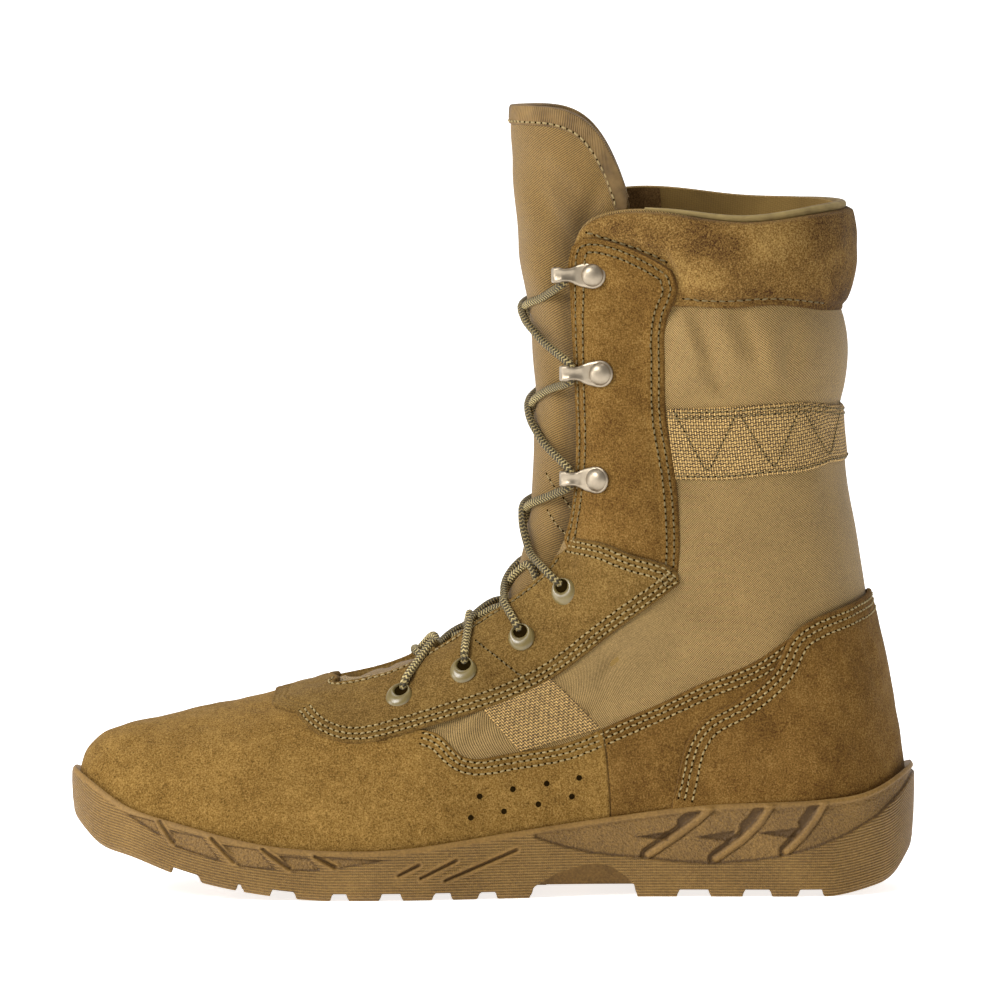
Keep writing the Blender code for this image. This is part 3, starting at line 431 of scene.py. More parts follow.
def mark(piece, name, values):
    """Store one number for each point of a piece."""
    layer = piece.data.attributes.new(name, "FLOAT", "POINT")
    layer.data.foreach_set("value", np.asarray(values, float).ravel())


WALL_STEPS, WALL_ROWS, TREAD_ROWS = 620, 72, 56
sole_pieces = []
for name, start, stop in (("outsole_wall_near", 0.0, 180.0), ("outsole_wall_far", 180.0, 360.0)):
    angle, length = even_angles(WALL_STEPS, start, stop)
    down = np.linspace(0, 1, WALL_ROWS)[:, None]
    outline = plan(angle)
    rim, tread = sole_heights(outline[:, 0])
    z = rim + (tread - rim) * down
    x = np.broadcast_to(outline[:, 0], z.shape)
    relief, *patterns = wall_relief(x, z, np.broadcast_to(rim, z.shape))
    floor_at = tread + LUG_DEPTH * lug_cut(outline[:, 0])
    floor_at = np.maximum(floor_at, np.interp(outline[:, 0], ARCH[:, 0], ARCH[:, 1], left=-9, right=-9))
    z = np.maximum(z, np.broadcast_to(floor_at, z.shape))
    inset = np.interp(down, SOLE_WALL[:, 0], SOLE_WALL[:, 1]) - relief * soft(1 - down - 0.03, 0.05)
    wall = np.concatenate([plan(np.broadcast_to(angle, z.shape), inset), z[..., None]], -1)
    bed = plan(angle, np.full(angle.shape, BED_INSET))
    lip = np.concatenate([bed, sole_heights(bed[:, 0])[0][:, None] - BED_DROP], -1)[None]
    wall = np.concatenate([lip, wall])
    uv = np.stack([np.broadcast_to(np.linspace(0, length, WALL_STEPS), wall.shape[:2]),
                   wall[..., 2] - tread], -1)
    piece = add_piece(name, wall, grid_faces(WALL_ROWS + 1, WALL_STEPS)[:, ::-1], uv, rubber)
    for kind, pattern in zip(("pebble", "ribbed", "groove_shade"), patterns):
        mark(piece, kind, np.concatenate([np.zeros((1, WALL_STEPS)), pattern]))
    sole_pieces.append(piece)

angle, _ = even_angles(WALL_STEPS, 0.0, 180.0)
near_edge, far_edge = (plan(a, np.full(angle.shape, SOLE_WALL[-1, 1])) for a in (angle, 360 - angle))
share = np.linspace(0, 1, TREAD_ROWS)[:, None, None]
flat = near_edge * (1 - share) + far_edge * share
x, y = flat[..., 0], flat[..., 1]
from_edge = np.minimum(share[..., 0], 1 - share[..., 0]) * (far_edge - near_edge)[:, 1]
rim_x = np.broadcast_to(plan(angle)[:, 0], x.shape)      # as on the wall above, so that the edges meet
tread = sole_heights(rim_x)[1]
slots = soft(SLOT_HALF - np.abs(np.abs(y) - SLOT_Y), 1.0) * soft(np.abs(x - SHANK_X) - SHANK_HALF, 2.0)
slots = slots * soft(SLOT_END - np.abs(x), 3.0)
cut = np.maximum(LUG_DEPTH * lug_cut(rim_x), SLOT_DEPTH * slots)
arch_at = np.interp(rim_x, ARCH[:, 0], ARCH[:, 1], left=0, right=0)
under_arch = soft(x - ARCH[0, 0] - 1, 1.0) * soft(ARCH[-1, 0] - 1 - x, 1.0) * ARCH_CEILING
cut = np.maximum(cut, np.where(from_edge < ARCH_DEPTH, np.maximum(arch_at, 0), under_arch))
tread_points = np.concatenate([flat, (tread + cut)[..., None]], -1)
piece = add_piece("outsole_tread", tread_points, grid_faces(TREAD_ROWS, WALL_STEPS)[:, ::-1],
                  np.stack([x, 0 * y + 0.21], -1), rubber)
# The tread gets a little painted shade all over, as the underside of the sole.
for kind, amount in (("pebble", 0.35), ("ribbed", 0.0), ("groove_shade", 0.3)):
    mark(piece, kind, np.full(x.shape, amount))
sole_pieces.append(piece)
for piece in sole_pieces:
    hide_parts("outsole")
    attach(piece, "root")


# Upper wall: one layer of woven nylon over foam and a knit lining, lasted into the sole's cup. Nylon shows
# between the suede pieces; it puffs out between cuff, webbing and counter, and puckers where it is sewn.
FOOT_DROP = 3.7                 # foot of the wall below the sole's rim
FOOT_INSET, HEEL_INSET = 3.9, 1.6       # of the wall's foot in from the sole's outline, and more at the heel
WALL = 1.8                      # thickness
SECTIONS = np.array([
    # angle, top x, y, z, lower handle x, y, z, upper handle x, y, z
    (0, -53.0, 0.0, 76.0, 0.5, 0.0, 26, -69, 0.0, -21.0),
    (16, -51.5, 5.5, 76.0, 0.5, 0.0, 26, -65, 7.0, -20.0),
    (33, -47.5, 9.5, 76.5, 1.0, 0.0, 26, -52, 13.0, -17.0),
    (49, -39.5, 12.0, 78.2, 2.0, 0.0, 27, -33, 17.0, -13.5),
    (65, -25.0, 13.5, 83.5, 4.0, 0.0, 30, -14, 19.0, -11.0),
    (82, -5.5, 15.0, 95.5, 4.0, 2.0, 38, -5, 18.5, -12.5),
    (98, 12.0, 17.0, 109.0, 2.0, 4.0, 44, 2, 18.0, -19.0),
    (111, 29.0, 22.5, 142.0, 0.0, 4.5, 55, 8, 14.0, -32.0),
    (122, 28.3, 26.0, 205.0, -1.0, 4.0, 60, 13, 12.0, -48.0),
    (128, 28.0, 27.0, 228.0, -2.0, 3.0, 62, 15, 11.0, -58.0),
    (134, 33.5, 28.5, 240.0, -3.0, 2.5, 63, 14, 9.0, -66.0),
    (141, 50.0, 32.5, 244.3, -4.0, 2.0, 64, 9, 5.0, -75.0),
    (155, 86.0, 37.5, 241.0, -5.5, 1.0, 63, -1, 0.0, -92.0),
    (168, 113.0, 27.0, 243.5, -6.2, 0.5, 62, -6, -1.0, -108.0),
    (180, 125.0, 0.0, 245.0, -6.5, 0.0, 62, -7, 0.0, -117.0)])
COLLAR_RISE = np.array([
    # angle, rise of the collar's outer side
    (120, 0.0), (128, 1.5), (134, 4.5), (141, 5.5), (155, 5.8), (168, 2.6), (180, 0.0)])


def both_sides(rows):
    """Section rows round the whole boot: the inner side first, then its mirror image back to the toe, where
    the collar's outer side stands a little higher."""
    near, far = rows.copy(), rows[-2:0:-1].copy()
    near[:, [2, 5, 8]] *= -1
    far[:, 3] += np.interp(far[:, 0], *COLLAR_RISE.T)
    far[:, 0] = 360 - far[:, 0]
    return np.concatenate([near, far])


ROUND_ROWS = both_sides(SECTIONS)


def foot_inset(angle):
    """How far the wall's foot stands inside the sole's outline: more at the heel, under the counter."""
    rise = np.clip((-SOLE_LENGTH / 2 * np.cos(np.radians(angle)) - 60) / 80, 0, 1)
    return FOOT_INSET + HEEL_INSET * rise * rise * (3 - 2 * rise)


def last(angle, t):
    """The upper's form: each section is one cubic from the foot (t 0) to the top edge (t 1)."""
    angle, t = np.broadcast_arrays(np.mod(np.asarray(angle, float), 360), np.asarray(t, float))
    row = spline(ROUND_ROWS[:, 0], ROUND_ROWS[:, 1:], angle, 360.0)
    foot = plan(angle, foot_inset(angle))
    foot = np.concatenate([foot, (sole_heights(foot[..., 0])[0] - FOOT_DROP)[..., None]], -1)
    top, low, high = row[..., 0:3], foot + row[..., 3:6], row[..., 0:3] + row[..., 6:9]
    t = t[..., None]
    return (1 - t) ** 3 * foot + 3 * t * (1 - t) ** 2 * low + 3 * t * t * (1 - t) * high + t ** 3 * top


def slopes(angle, t):
    """Change of the form with the angle and with t, each over a small step."""
    angle, t = np.asarray(angle, float), np.asarray(t, float)
    return last(angle + 0.05, t) - last(angle - 0.05, t), last(angle, t + 0.0005) - last(angle, t - 0.0005)


def outward(angle, t):
    """Unit normal of the form, pointing out of the boot."""
    return unit(np.cross(*slopes(angle, t)))


def on(places):
    """Points of the form at (angle, t) places."""
    return last(places[..., 0], places[..., 1])


def out_of(places):
    """Normals of the form at (angle, t) places, its very edges left out."""
    return outward(places[..., 0], np.clip(places[..., 1], 0.002, 0.998))


def find(points):
    """Angle and t of the inner side's points that show at the given (x, z) places of the side view."""
    points = np.asarray(points, float)
    angle, t = np.meshgrid(np.linspace(1, 179, 90), np.linspace(0.02, 0.98, 40))
    view = last(angle, t)[..., [0, 2]].reshape(-1, 2)
    nearest = ((points[:, None] - view[None]) ** 2).sum(-1).argmin(1)
    place = np.stack([angle.ravel()[nearest], t.ravel()[nearest]], -1)
    for _ in range(8):
        here = on(place)[:, [0, 2]]
        slope_a = (on(place + (0.1, 0))[:, [0, 2]] - here) / 0.1
        slope_t = (on(place + (0, 0.001))[:, [0, 2]] - here) / 0.001
        move = np.linalg.solve(np.stack([slope_a, slope_t], -1), (points - here)[..., None])[..., 0]
        place = np.clip(place + move, (0, 0), (180, 1))
    return place


def read_at(at, walk, rows):
    """Each column of rows read at lengths of a walk, straight between the rows."""
    return np.stack([np.interp(at, walk, column) for column in rows.T], -1)


def drawn(points, count=90, sharp=False):
    """A line drawn in the side view through (x, z) points, smooth or straight between them, as places."""
    points = np.asarray(points, float)
    walk = walked(points)
    at = np.linspace(0, walk[-1], count)
    return find(read_at(at, walk, points) if sharp else spline(walk, points, at))


def ripple(points, size, seed):
    """Smooth uneven field of about -1 to 1 over points: a sum of waves of that size in random directions."""
    random = np.random.default_rng(seed)
    way = random.normal(size=(10, 3))
    way *= 2 * np.pi / size / np.linalg.norm(way, axis=1, keepdims=True) * random.uniform(0.7, 1.4, (10, 1))
    return np.sin(points @ way.T + random.uniform(0, 7, 10)).sum(-1) / 4


# Puckers and soft folds of the nylon in the side view, on both sides
FOLDS = np.array([
    # x1, z1, x2, z2, half width, height
    (67, 206, 74, 186, 2.6, 1.5), (72, 207, 80, 184, 2.4, -1.1), (80, 208, 86, 192, 2.8, 1.2),
    (88, 208, 92, 194, 3.0, -1.1), (98, 208, 97, 190, 3.2, 0.9), (106, 207, 104, 188, 3.0, -0.9),
    (70, 180, 92, 186, 2.8, -1.2), (96, 181, 118, 184, 3.0, -0.9), (66, 147, 84, 140, 3.5, -1.0),
    (70, 120, 96, 134, 4.0, 1.0), (66, 108, 104, 118, 4.5, -0.9), (46, 92, 74, 100, 3.2, 1.3),
    (40, 84, 70, 86, 3.0, -1.2), (36, 72, 60, 76, 2.6, 1.1), (-14, 57, -4, 66, 1.8, 1.2),
    (-9, 54, 2, 66, 1.6, -0.9), (22, 66, 34, 74, 2.2, 1.1), (28, 62, 42, 72, 2.0, -0.9),
    (112, 130, 116, 170, 4.0, 0.5), (38, 78, 46, 88, 2.0, -1.2), (68, 196, 82, 180, 2.2, -1.0),
    (92, 206, 100, 184, 2.4, 0.9)])
CUFF_LOW_Z, WEB_TOP_Z, WEB_LOW_Z, COUNTER_TOP_Z = 209.0, 175.5, 150.0, 100.0
SHAFT_X, PUFF_UPPER, PUFF_LOWER = 64.0, 3.1, 0.9


def creased(points, folds):
    """Height of soft troughs and ridges laid along straight lines in the side view."""
    height = np.zeros(points.shape[:-1])
    for x1, z1, x2, z2, half, rise in folds:
        away, share = off_line(points[..., 0], points[..., 2], (x1, z1, x2, z2))
        height += rise * hump(away, half) * (0.35 + 0.65 * np.sin(np.pi * (0.15 + 0.7 * share)))
    return height


def nylon_height(points):
    """How far the nylon stands off the form: puffed between the bands that hold it, with folds."""
    x, z = points[..., 0], points[..., 2]
    upper = np.clip((z - WEB_TOP_Z) / (CUFF_LOW_Z - WEB_TOP_Z), 0, 1)
    lower = np.clip((z - COUNTER_TOP_Z) / (WEB_LOW_Z - COUNTER_TOP_Z), 0, 1)
    puff = PUFF_UPPER * np.sin(np.pi * upper) ** 0.7 + PUFF_LOWER * np.sin(np.pi * lower)
    return puff * soft(x - SHAFT_X, 14) + creased(points, FOLDS) + 0.22 * ripple(points, 26, 3)


def weave(tree, across, along, strength, depth):
    """Woven surface from the piece's own cloth map: where a thread is on top its round back shows, and
    crossing threads lie on top in turn. Gives the threads' height and which one is on top."""
    u, v = (calc(tree, "DIVIDE", way, pitch) for way, pitch in zip(cloth_map(tree), (across, along)))
    backs = [calc(tree, "ABSOLUTE", sine(tree, way, 2.0)) for way in (u, v)]
    step = calc(tree, "ADD", *(calc(tree, "FLOOR", way) for way in (u, v)))
    over = calc(tree, "LESS_THAN", calc(tree, "FLOORED_MODULO", step, 2.0), 1.0)
    height = node(tree, "Mix", {0: over, 2: backs[1], 3: backs[0]}, data_type="FLOAT")
    bump(tree, height, strength, depth)
    return height, over


def woven_tone(tree, height, over):
    """Tone of the cloth: the two threads differ, each has painted shade at its sides and is lighter on its
    back, and the dye is uneven.
    """
    return blend(tree, (height, 0.2), (over, 0.88), (noise(tree, 0.012), 0.35), (noise(tree, 0.0008), 0.8),
                 plus=-0.67)


nylon, tree = new_material("woven_nylon", 0.78, Sheen_Weight=0.12, Specular_IOR_Level=0.3)
dye(tree, woven_tone(tree, *weave(tree, 0.43, 0.43, 0.6, 0.00018)),
    (0.05, 0.06, 0.034, 0.0075), (0.5, 0.218, 0.133, 0.0405), (0.95, 0.44, 0.285, 0.098))
WALL_ROUND, WALL_UP = 380, 105  # rows are odd, so that the lining, with every second one, ends at the rim
angle, t = np.meshgrid(np.arange(WALL_ROUND + 1) * 360.0 / WALL_ROUND, np.linspace(0.0, 1.0, WALL_UP))
form, out = last(angle, t), outward(angle, np.clip(t, 0.002, 0.998))


def cloth_of(points):
    """Cloth map of a grid of points: millimetres walked across from its middle column, and up."""
    across = walked(points, 1)
    return np.stack([across - across[:, points.shape[1] // 2][:, None], walked(points)], -1)


flat = cloth_of(form)
wall = form + out * (nylon_height(form) * soft(1 - t - 0.03, 0.06))[..., None]
upper_wall = add_piece("upper_wall", wall, grid_faces(WALL_UP, WALL_ROUND + 1), flat, nylon)
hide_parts("upper")
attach(upper_wall, "root")


# Lining: a dark olive knit over thin foam, inside the whole wall and sewn to it along the rim, where the
# wall's cut edge shows as a narrow strip of the same knit.
lining_knit, tree = new_material("lining_knit", 0.95)
height, _ = weave(tree, 0.9, 0.7, 0.4, 0.0002)
# Painted shade: each thread is darker at its sides than on its back.
dye(tree, blend(tree, (height, 0.3), (noise(tree, 0.02), 1.0)),
    (0.3, 0.125, 0.072, 0.0155), (0.6, 0.20, 0.119, 0.027), (0.9, 0.26, 0.158, 0.040))
thin = slice(None, None, 2)
lining_points = (form - out * WALL)[thin, thin]
lining = add_piece("lining", lining_points, grid_faces(*lining_points.shape[:2])[:, ::-1], flat[thin, thin],
                   lining_knit)
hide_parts("upper")
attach(lining, "root")
rim_middle = form[-1:] - out[-1:] * WALL / 2 + (0, 0, 0.5)
rim_edge = np.concatenate([wall[-1:], rim_middle, form[-1:] - out[-1:] * WALL])
wall_edge = add_piece("upper_edge", rim_edge, grid_faces(3, WALL_ROUND + 1),
                      (flat[-1] * (1, 0))[None].repeat(3, 0), lining_knit)
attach(wall_edge, "root")


# Vamp and quarters: cowhide suede cut in pieces and sewn over the wall, the vamp under the eyestay in front
# and up to a side seam, the quarters behind it. The nap is mottled where it has been brushed both ways.
SUEDE = 1.2
EDGE_STEPS = np.concatenate([[0.0, 0.12, 0.3, 0.6], np.arange(1.0, 8.1, 0.5)])       # from a cut edge inward
EDGE_ROUND, EDGE_SINK, EDGE_SHADE = 1.1, 0.25, 1.6
SEWN_DEPTH, SEWN_WIDE = 0.32, 0.75      # trough that a row of stitches pulls into the suede
VAMP_EDGE = [(-24.5, 60.0), (-19.5, 58.5), (-15.5, 55.0), (-11.5, 51.3), (-7.0, 49.9), (0.0, 50.6),
             (9.0, 52.1), (23.8, 54.6), (38.8, 60.2)]
VAMP_UNDER = [(0, 0.945), (30, 0.88), (47, 0.75), (56, 0.63), (62, 0.57), (69, 0.53)]   # below the eyestay
QUARTER_EDGE = [(38.65, 60.1), (47.8, 64.2), (61.8, 70.3), (76.8, 77.4), (92.6, 83.8), (102.6, 90.4),
                (112.0, 96.0)]
VAMP_ROWS = (1.5, 3.4, 5.6)             # rows of stitches from the top edge
SEAM_FOOT, SEAM_FOOT_Z, SEAM_LAP = 41.8, 32.5, 0.25     # the side seam at the sole
FOOT_T = 0.012                          # t of the pieces' lower edges, in the sole's cup
QUARTER_END = 137.0                     # angle where the quarter ends under the counter
NAP_FOLDS = np.array([
    # x1, z1, x2, z2, half width, height
    (-60, 50, -38, 36, 9.0, -0.5), (-92, 44, -70, 60, 10.0, 0.5), (-30, 34, -12, 46, 6.0, -0.45),
    (-46, 26, -16, 32, 7.0, 0.4), (10, 40, 34, 48, 6.0, -0.35), (-118, 50, -100, 40, 9.0, -0.4),
    (70, 46, 96, 60, 9.0, -0.5), (108, 50, 124, 80, 9.0, 0.5), (96, 90, 118, 76, 8.0, -0.45),
    (-36, 66, -16, 70, 5.0, 0.4), (14, 82, 34, 98, 5.0, -0.4), (40, 150, 52, 190, 7.0, -0.4),
    (46, 130, 58, 118, 6.0, 0.35), (72, 222, 92, 232, 7.0, -0.8), (96, 220, 116, 224, 7.0, -0.7),
    (84, 236, 108, 238, 6.0, 0.6)])


def run_length(places):
    """Length of a line of places on the form."""
    return np.linalg.norm(np.diff(on(places), axis=0), axis=1).sum()


def cut_at(places, shares):
    """A line of places read at shares of its length on the form."""
    return read_at(shares, walked(on(places)) / run_length(places), places)


def spread(length, count):
    """Shares of the way across strips of the given lengths: fine steps by both edges, even ones between."""
    length = np.asarray(length, float)
    even = np.linspace(0, 1, count + 2)[1:-1]
    steps, between = (s.reshape(-1, *[1] * length.ndim) for s in (EDGE_STEPS, even))
    fine = np.minimum(steps, length * 0.25 * steps / EDGE_STEPS[-1]) / np.maximum(length, 1e-6)
    return np.concatenate([fine, fine[-1] + between * (1 - 2 * fine[-1]), 1 - fine[::-1]])


def mirrored(edge, about):
    """An edge run on past the centre line at the toe (0) or heel (180) to the other side."""
    other = edge[::-1] * (-1, 1) + (2 * about, 0)
    return np.concatenate([other[:-1], edge]) if about == 0 else np.concatenate([edge, other[1:]])


def other_side(places):
    """The same places on the outer side of the boot."""
    return np.asarray(places) * (-1, 1) + (360, 0)


def sided(*edges):
    """Names of the two sides, each with the edges of a piece there."""
    return ("near", edges), ("far", [other_side(edge) for edge in edges])


def level(start, stop, t, count):
    """A line of places at one t between two angles."""
    return np.stack([np.linspace(start, stop, count), np.full(count, t)], -1)


def panel(name, low, high, base, thick, material, step=1.25, pad=None, wave=0.18, sewn=((), (), ())):
    """Piece cut between two edges of the form: its top stands base and thick above the form, rounded down
    at the cut edges as part of a circle, with the nap's waves and folds, and a trough along each row of
    stitches; sewn holds the rows' distances from its low edge, its high edge and its last end."""
    reach = max(run_length(low), run_length(high))
    along = spread(reach, int(reach / step))
    low, high = cut_at(low, along), cut_at(high, along)
    width = np.linalg.norm(on(high) - on(low), axis=-1)
    across = spread(width, max(int(width.max() / step), 3))
    places = low * (1 - across[..., None]) + high * across[..., None]
    form, out = on(places), outward(places[..., 0], np.clip(places[..., 1], 0.001, 0.999))
    from_low, from_high = across * width, (1 - across) * width
    from_end = np.broadcast_to((1 - along) * reach, across.shape)
    inward = np.minimum(np.minimum(across, 1 - across) * width, np.minimum(along, 1 - along) * reach)
    trough = np.zeros(across.shape)
    for gaps, away in zip(sewn, (from_low, from_high, from_end)):
        for gap in gaps:
            trough = np.maximum(trough, hump(away - gap, SEWN_WIDE) * (inward > gap - 0.6))
    rise = np.sqrt(1 - (1 - np.clip(inward / EDGE_ROUND, 0, 1)) ** 2)
    under = base(places) if callable(base) else base
    relief = wave * ripple(form, 9, 5) + 2 * wave * ripple(form, 30, 6) + creased(form, NAP_FOLDS)
    top = thick + relief * np.clip(inward / 6, 0, 1) - SEWN_DEPTH * trough
    if pad is not None:
        top = top + pad(places, across, along, width)
    height = under - EDGE_SINK + (top + EDGE_SINK) * rise
    points = form + out * height[..., None]
    faces = grid_faces(*across.shape)
    middle = faces[len(faces) // 2]
    sides = points.reshape(-1, 3)[middle]
    facing = np.cross(sides[1] - sides[0], sides[3] - sides[0]).dot(out.reshape(-1, 3)[middle[0]])
    uv = np.stack([np.broadcast_to(along * reach, across.shape), from_low], -1)
    piece = add_piece(name, points, faces if facing > 0 else faces[:, ::-1], uv, material)
    mark(piece, "edge", 1 - np.clip(inward / EDGE_SHADE, 0, 1))
    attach(piece, "root")
    return piece


def suede(name, dark, middle, light, patch=0.022, spots=0.45):
    """Napped leather: mottled where the nap lies both ways, with short fibres, darker at the cut edge."""
    material, tree = new_material(name, 0.93, Sheen_Weight=0.07, Sheen_Roughness=0.45,
                                  Sheen_Tint=(1.0, 0.86, 0.6, 1.0), Specular_IOR_Level=0.08)
    fibre = blend(tree, (noise(tree, 0.00055, 3.0, 0.6), 0.8), (noise(tree, 0.002, 3.0, 0.7), 0.2))
    terms = [(noise(tree, patch, 3.0, 0.5), spots), (noise(tree, 0.0055, 2.0, 0.5), 0.2), (fibre, 1.7)]
    centred = 0.5 - 0.5 * sum(factor for _, factor in terms)
    # The shade number darkens a piece: painted shade, and on the cuff also darker and paler places.
    tone = blend(tree, *terms, (tagged(tree, "shade"), -0.22), (tagged(tree, "edge"), -0.1), plus=centred)
    dye(tree, tone, (0.16, *dark), (0.5, *middle), (0.84, *light))
    bump(tree, blend(tree, (fibre, 1.0), (noise(tree, 0.0045), 0.8)), 0.75, 0.0006)
    return material


# One suede for all these pieces, in a copy for each: their colours differ as painted light, the vamp lighter
# where the light falls on it, the quarters, counter, facings and eyestay darker.
vamp_suede = suede("vamp_suede", (0.0538, 0.02405, 0.004), (0.186, 0.102, 0.0232), (0.348, 0.212, 0.062),
                   spots=0.22)
quarter_suede = suede("quarter_suede", (0.04806, 0.0217, 0.004), (0.133, 0.0675, 0.0144),
                      (0.255, 0.145, 0.040))
seam_foot, quarter_foot = (find([(x, SEAM_FOOT_Z)])[0, 0] for x in (SEAM_FOOT, SEAM_FOOT - SEAM_LAP))
vamp_top = np.concatenate([VAMP_UNDER, drawn(VAMP_EDGE)])
vamp_foot = np.stack([np.linspace(0, 1, 60) ** 0.9 * seam_foot, np.full(60, FOOT_T)], -1)
vamp = panel("vamp", mirrored(vamp_foot, 0), mirrored(vamp_top, 0), 0.0, SUEDE, vamp_suede, step=1.35,
             sewn=((), VAMP_ROWS, ()))
quarters = []
for name, edges in sided(level(quarter_foot, QUARTER_END, FOOT_T, 40), drawn(QUARTER_EDGE)):
    quarters.append(panel("quarter_" + name, *edges, 0.0, SUEDE, quarter_suede, sewn=((), VAMP_ROWS, ())))


# Heel counter: a stiffened suede piece wrapped round the heel over the quarters and sewn down by three
# rows of stitches along its curved front and top edge; its foot goes into the sole's cup.
COUNTER_TOP = [(118.0, 100.5), (111.5, 97.6), (106.9, 94.4), (104.2, 90.8), (101.0, 83.5), (94.0, 75.8),
               (84.0, 69.0), (75.5, 64.4), (70.2, 58.2), (67.5, 51.8), (65.4, 42.0), (64.0, 36.0)]
COUNTER_BACK, COUNTER_FROM, COUNTER_T = [(180.0, 0.418), (168.0, 0.392)], 114.6, 0.014
COUNTER_THICK = 1.3
COUNTER_ROWS = (1.8, 4.0, 6.8)
# Copy of the same suede, darker: painted shade.
counter_suede = suede("counter_suede", (0.05044, 0.0217, 0.004132), (0.136, 0.0685, 0.0144),
                      (0.257, 0.146, 0.041))
counter_top = np.concatenate([COUNTER_BACK, drawn(COUNTER_TOP)])[::-1]
counter_low = level(COUNTER_FROM, 180.0, COUNTER_T, 50)
counter = panel("counter", mirrored(counter_low, 180), mirrored(counter_top, 180), SUEDE, COUNTER_THICK,
                counter_suede, sewn=((), COUNTER_ROWS, ()))
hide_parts("heel_counter")


# Eyestay: a suede piece over vamp and nylon that runs round the throat in front and carries the eyelets,
# with a pointed end behind. Facings: suede strips up the shaft's front edges for the hooks.
EYESTAY_LOW = [(-70.0, 63.4), (-67.5, 60.8), (-63.5, 57.9), (-54.3, 54.6), (-44.6, 54.6), (-35.0, 56.9),
               (-23.5, 60.5), (14.2, 74.0), (24.5, 80.1), (45.0, 95.9), (60.7, 107.3), (66.2, 111.6)]
EYESTAY_TOP = [(27.8, 127.6), (33.1, 127.0), (40.3, 125.7), (50.3, 121.7), (64.3, 116.6), (66.0, 114.6)]
EYESTAY_TOE = [(0.0, 0.89), (24.0, 0.83)]
EYESTAY_THICK, FACING_THICK, FACING_SKIVE, FACING_RISE = 1.4, 1.5, 0.9, 1.6
THROAT = [(0, 0.985), (24, 0.975), (33, 0.955), (39, 0.915), (43, 0.9), (60, 0.9), (66, 0.915), (72, 0.945),
          (78, 0.975), (86, 0.995), (105, 0.995)]       # its upper edge, which leaves nylon bare in front
EYESTAY_ROWS, THROAT_ROWS, FACING_ROWS = (1.5, 3.4, 5.6), (2.4,), (2.3, 5.0)
FACING_FOOT, FACING_FRONT = [(36.0, 117.0)], [(108.6, 0.84), (107.3, 0.93), (107.1, 0.994), (129.6, 0.994)]
FACING_BACK = [(65.0, 110.0), (66.0, 117.0), (66.1, 135.1), (63.9, 155.2), (61.4, 170.2), (61.1, 191.8),
               (62.6, 208.0), (65.6, 215.5), (63.6, 223.2)]
# Copies of the same suede, darker: painted shade.
facing_suede = suede("facing_suede", (0.05254, 0.02256, 0.004), (0.145, 0.075, 0.0165),
                     (0.2657, 0.1555, 0.0445), 0.015)
eyestay_suede = suede("eyestay_suede", (0.05078, 0.02366, 0.00444), (0.146, 0.083, 0.021),
                      (0.279, 0.1723, 0.0525), 0.016, 0.3)


def vamp_under(angle):
    """Thickness of the vamp under the eyestay, which runs out toward the shaft."""
    return SUEDE * np.clip((92 - np.abs((angle + 180) % 360 - 180)) / 12, 0, 1)


def over_vamp(places):
    """The eyestay lies on the vamp's suede in front, on the nylon behind it and on the facings' feet."""
    form = on(places)
    low_z = np.interp(form[..., 0], *np.transpose(EYESTAY_LOW))
    behind = soft(form[..., 0] - 30, 10) * np.clip((form[..., 2] - low_z - 2) / 10, 0, 1)
    return vamp_under(places[..., 0]) + 1.3 * behind


def facing_foot(places, across, along, width):
    """The facing thins out at its foot, where the eyestay covers it, and rises over the cuff's edge."""
    foot, top = 1 - np.clip(along / 0.1, 0, 1), np.clip((along - 0.80) / 0.08, 0, 1)
    return FACING_RISE * top - FACING_SKIVE * foot + 0 * across


throat_angle = np.linspace(0, 105, 120)
throat = np.stack([throat_angle, np.interp(throat_angle, *np.transpose(THROAT))], -1)
eyestay_low = np.concatenate([EYESTAY_TOE, drawn(EYESTAY_LOW)])
eyestay_top = np.concatenate([throat, drawn(EYESTAY_TOP)[4:]])
eyestay = panel("eyestay_piece", mirrored(eyestay_low, 0), mirrored(eyestay_top, 0), over_vamp,
                EYESTAY_THICK, eyestay_suede, sewn=(EYESTAY_ROWS, THROAT_ROWS, ()))
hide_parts("eyestay")
facing_front, facing_back = np.concatenate([find(FACING_FOOT), FACING_FRONT]), drawn(FACING_BACK)
facings = []
for name, edges in sided(facing_front, facing_back):
    facing = panel("facing_strip_" + name, *edges, 0.0, FACING_THICK, facing_suede, pad=facing_foot,
                   sewn=(FACING_ROWS, FACING_ROWS, FACING_ROWS))
    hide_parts("facing_" + name)
    facings.append(facing)


# Cuff: a foam pad under suede round the top of the shaft, rolled over the edge in front, with a knit
# binding rolled along the rim and suede patches inside behind the facings.
CUFF_LOW = [(116.5, 208.0), (98.5, 210.5), (81.0, 209.6), (70.0, 210.2), (60.0, 211.5), (56.0, 217.0),
            (50.0, 222.5), (40.0, 226.0), (31.0, 227.5)]
CUFF_BACK, CUFF_FRONT, CUFF_T, CUFF_PAD, CUFF_THICK = (180.0, 0.883), 129.0, 0.998, 4.6, 1.3
CUFF_ROWS = (2.8,)
# x, z, size and depth of the places where the cuff's suede is darker, or paler where the depth is below
# nothing
CUFF_MARKS = [(49, 237, 9, 0.6), (80, 232, 8, 0.6), (99, 234, 9, -0.4), (73, 221, 7, -0.5),
              (62, 236, 6, -0.3), (104, 222, 7, 0.3)]
FACING_END = [(28.0, 231.5), (41.7, 231.0), (62.1, 225.0), (66.0, 217.5)]      # the facing's top edge
# Copy of the same suede, its colours set for the light on the cuff: painted light.
cuff_suede = suede("cuff_suede", (0.03104, 0.01186, 0.004), (0.158, 0.085, 0.0215),
                   (0.3277, 0.2057, 0.06438), 0.02, 0.6)


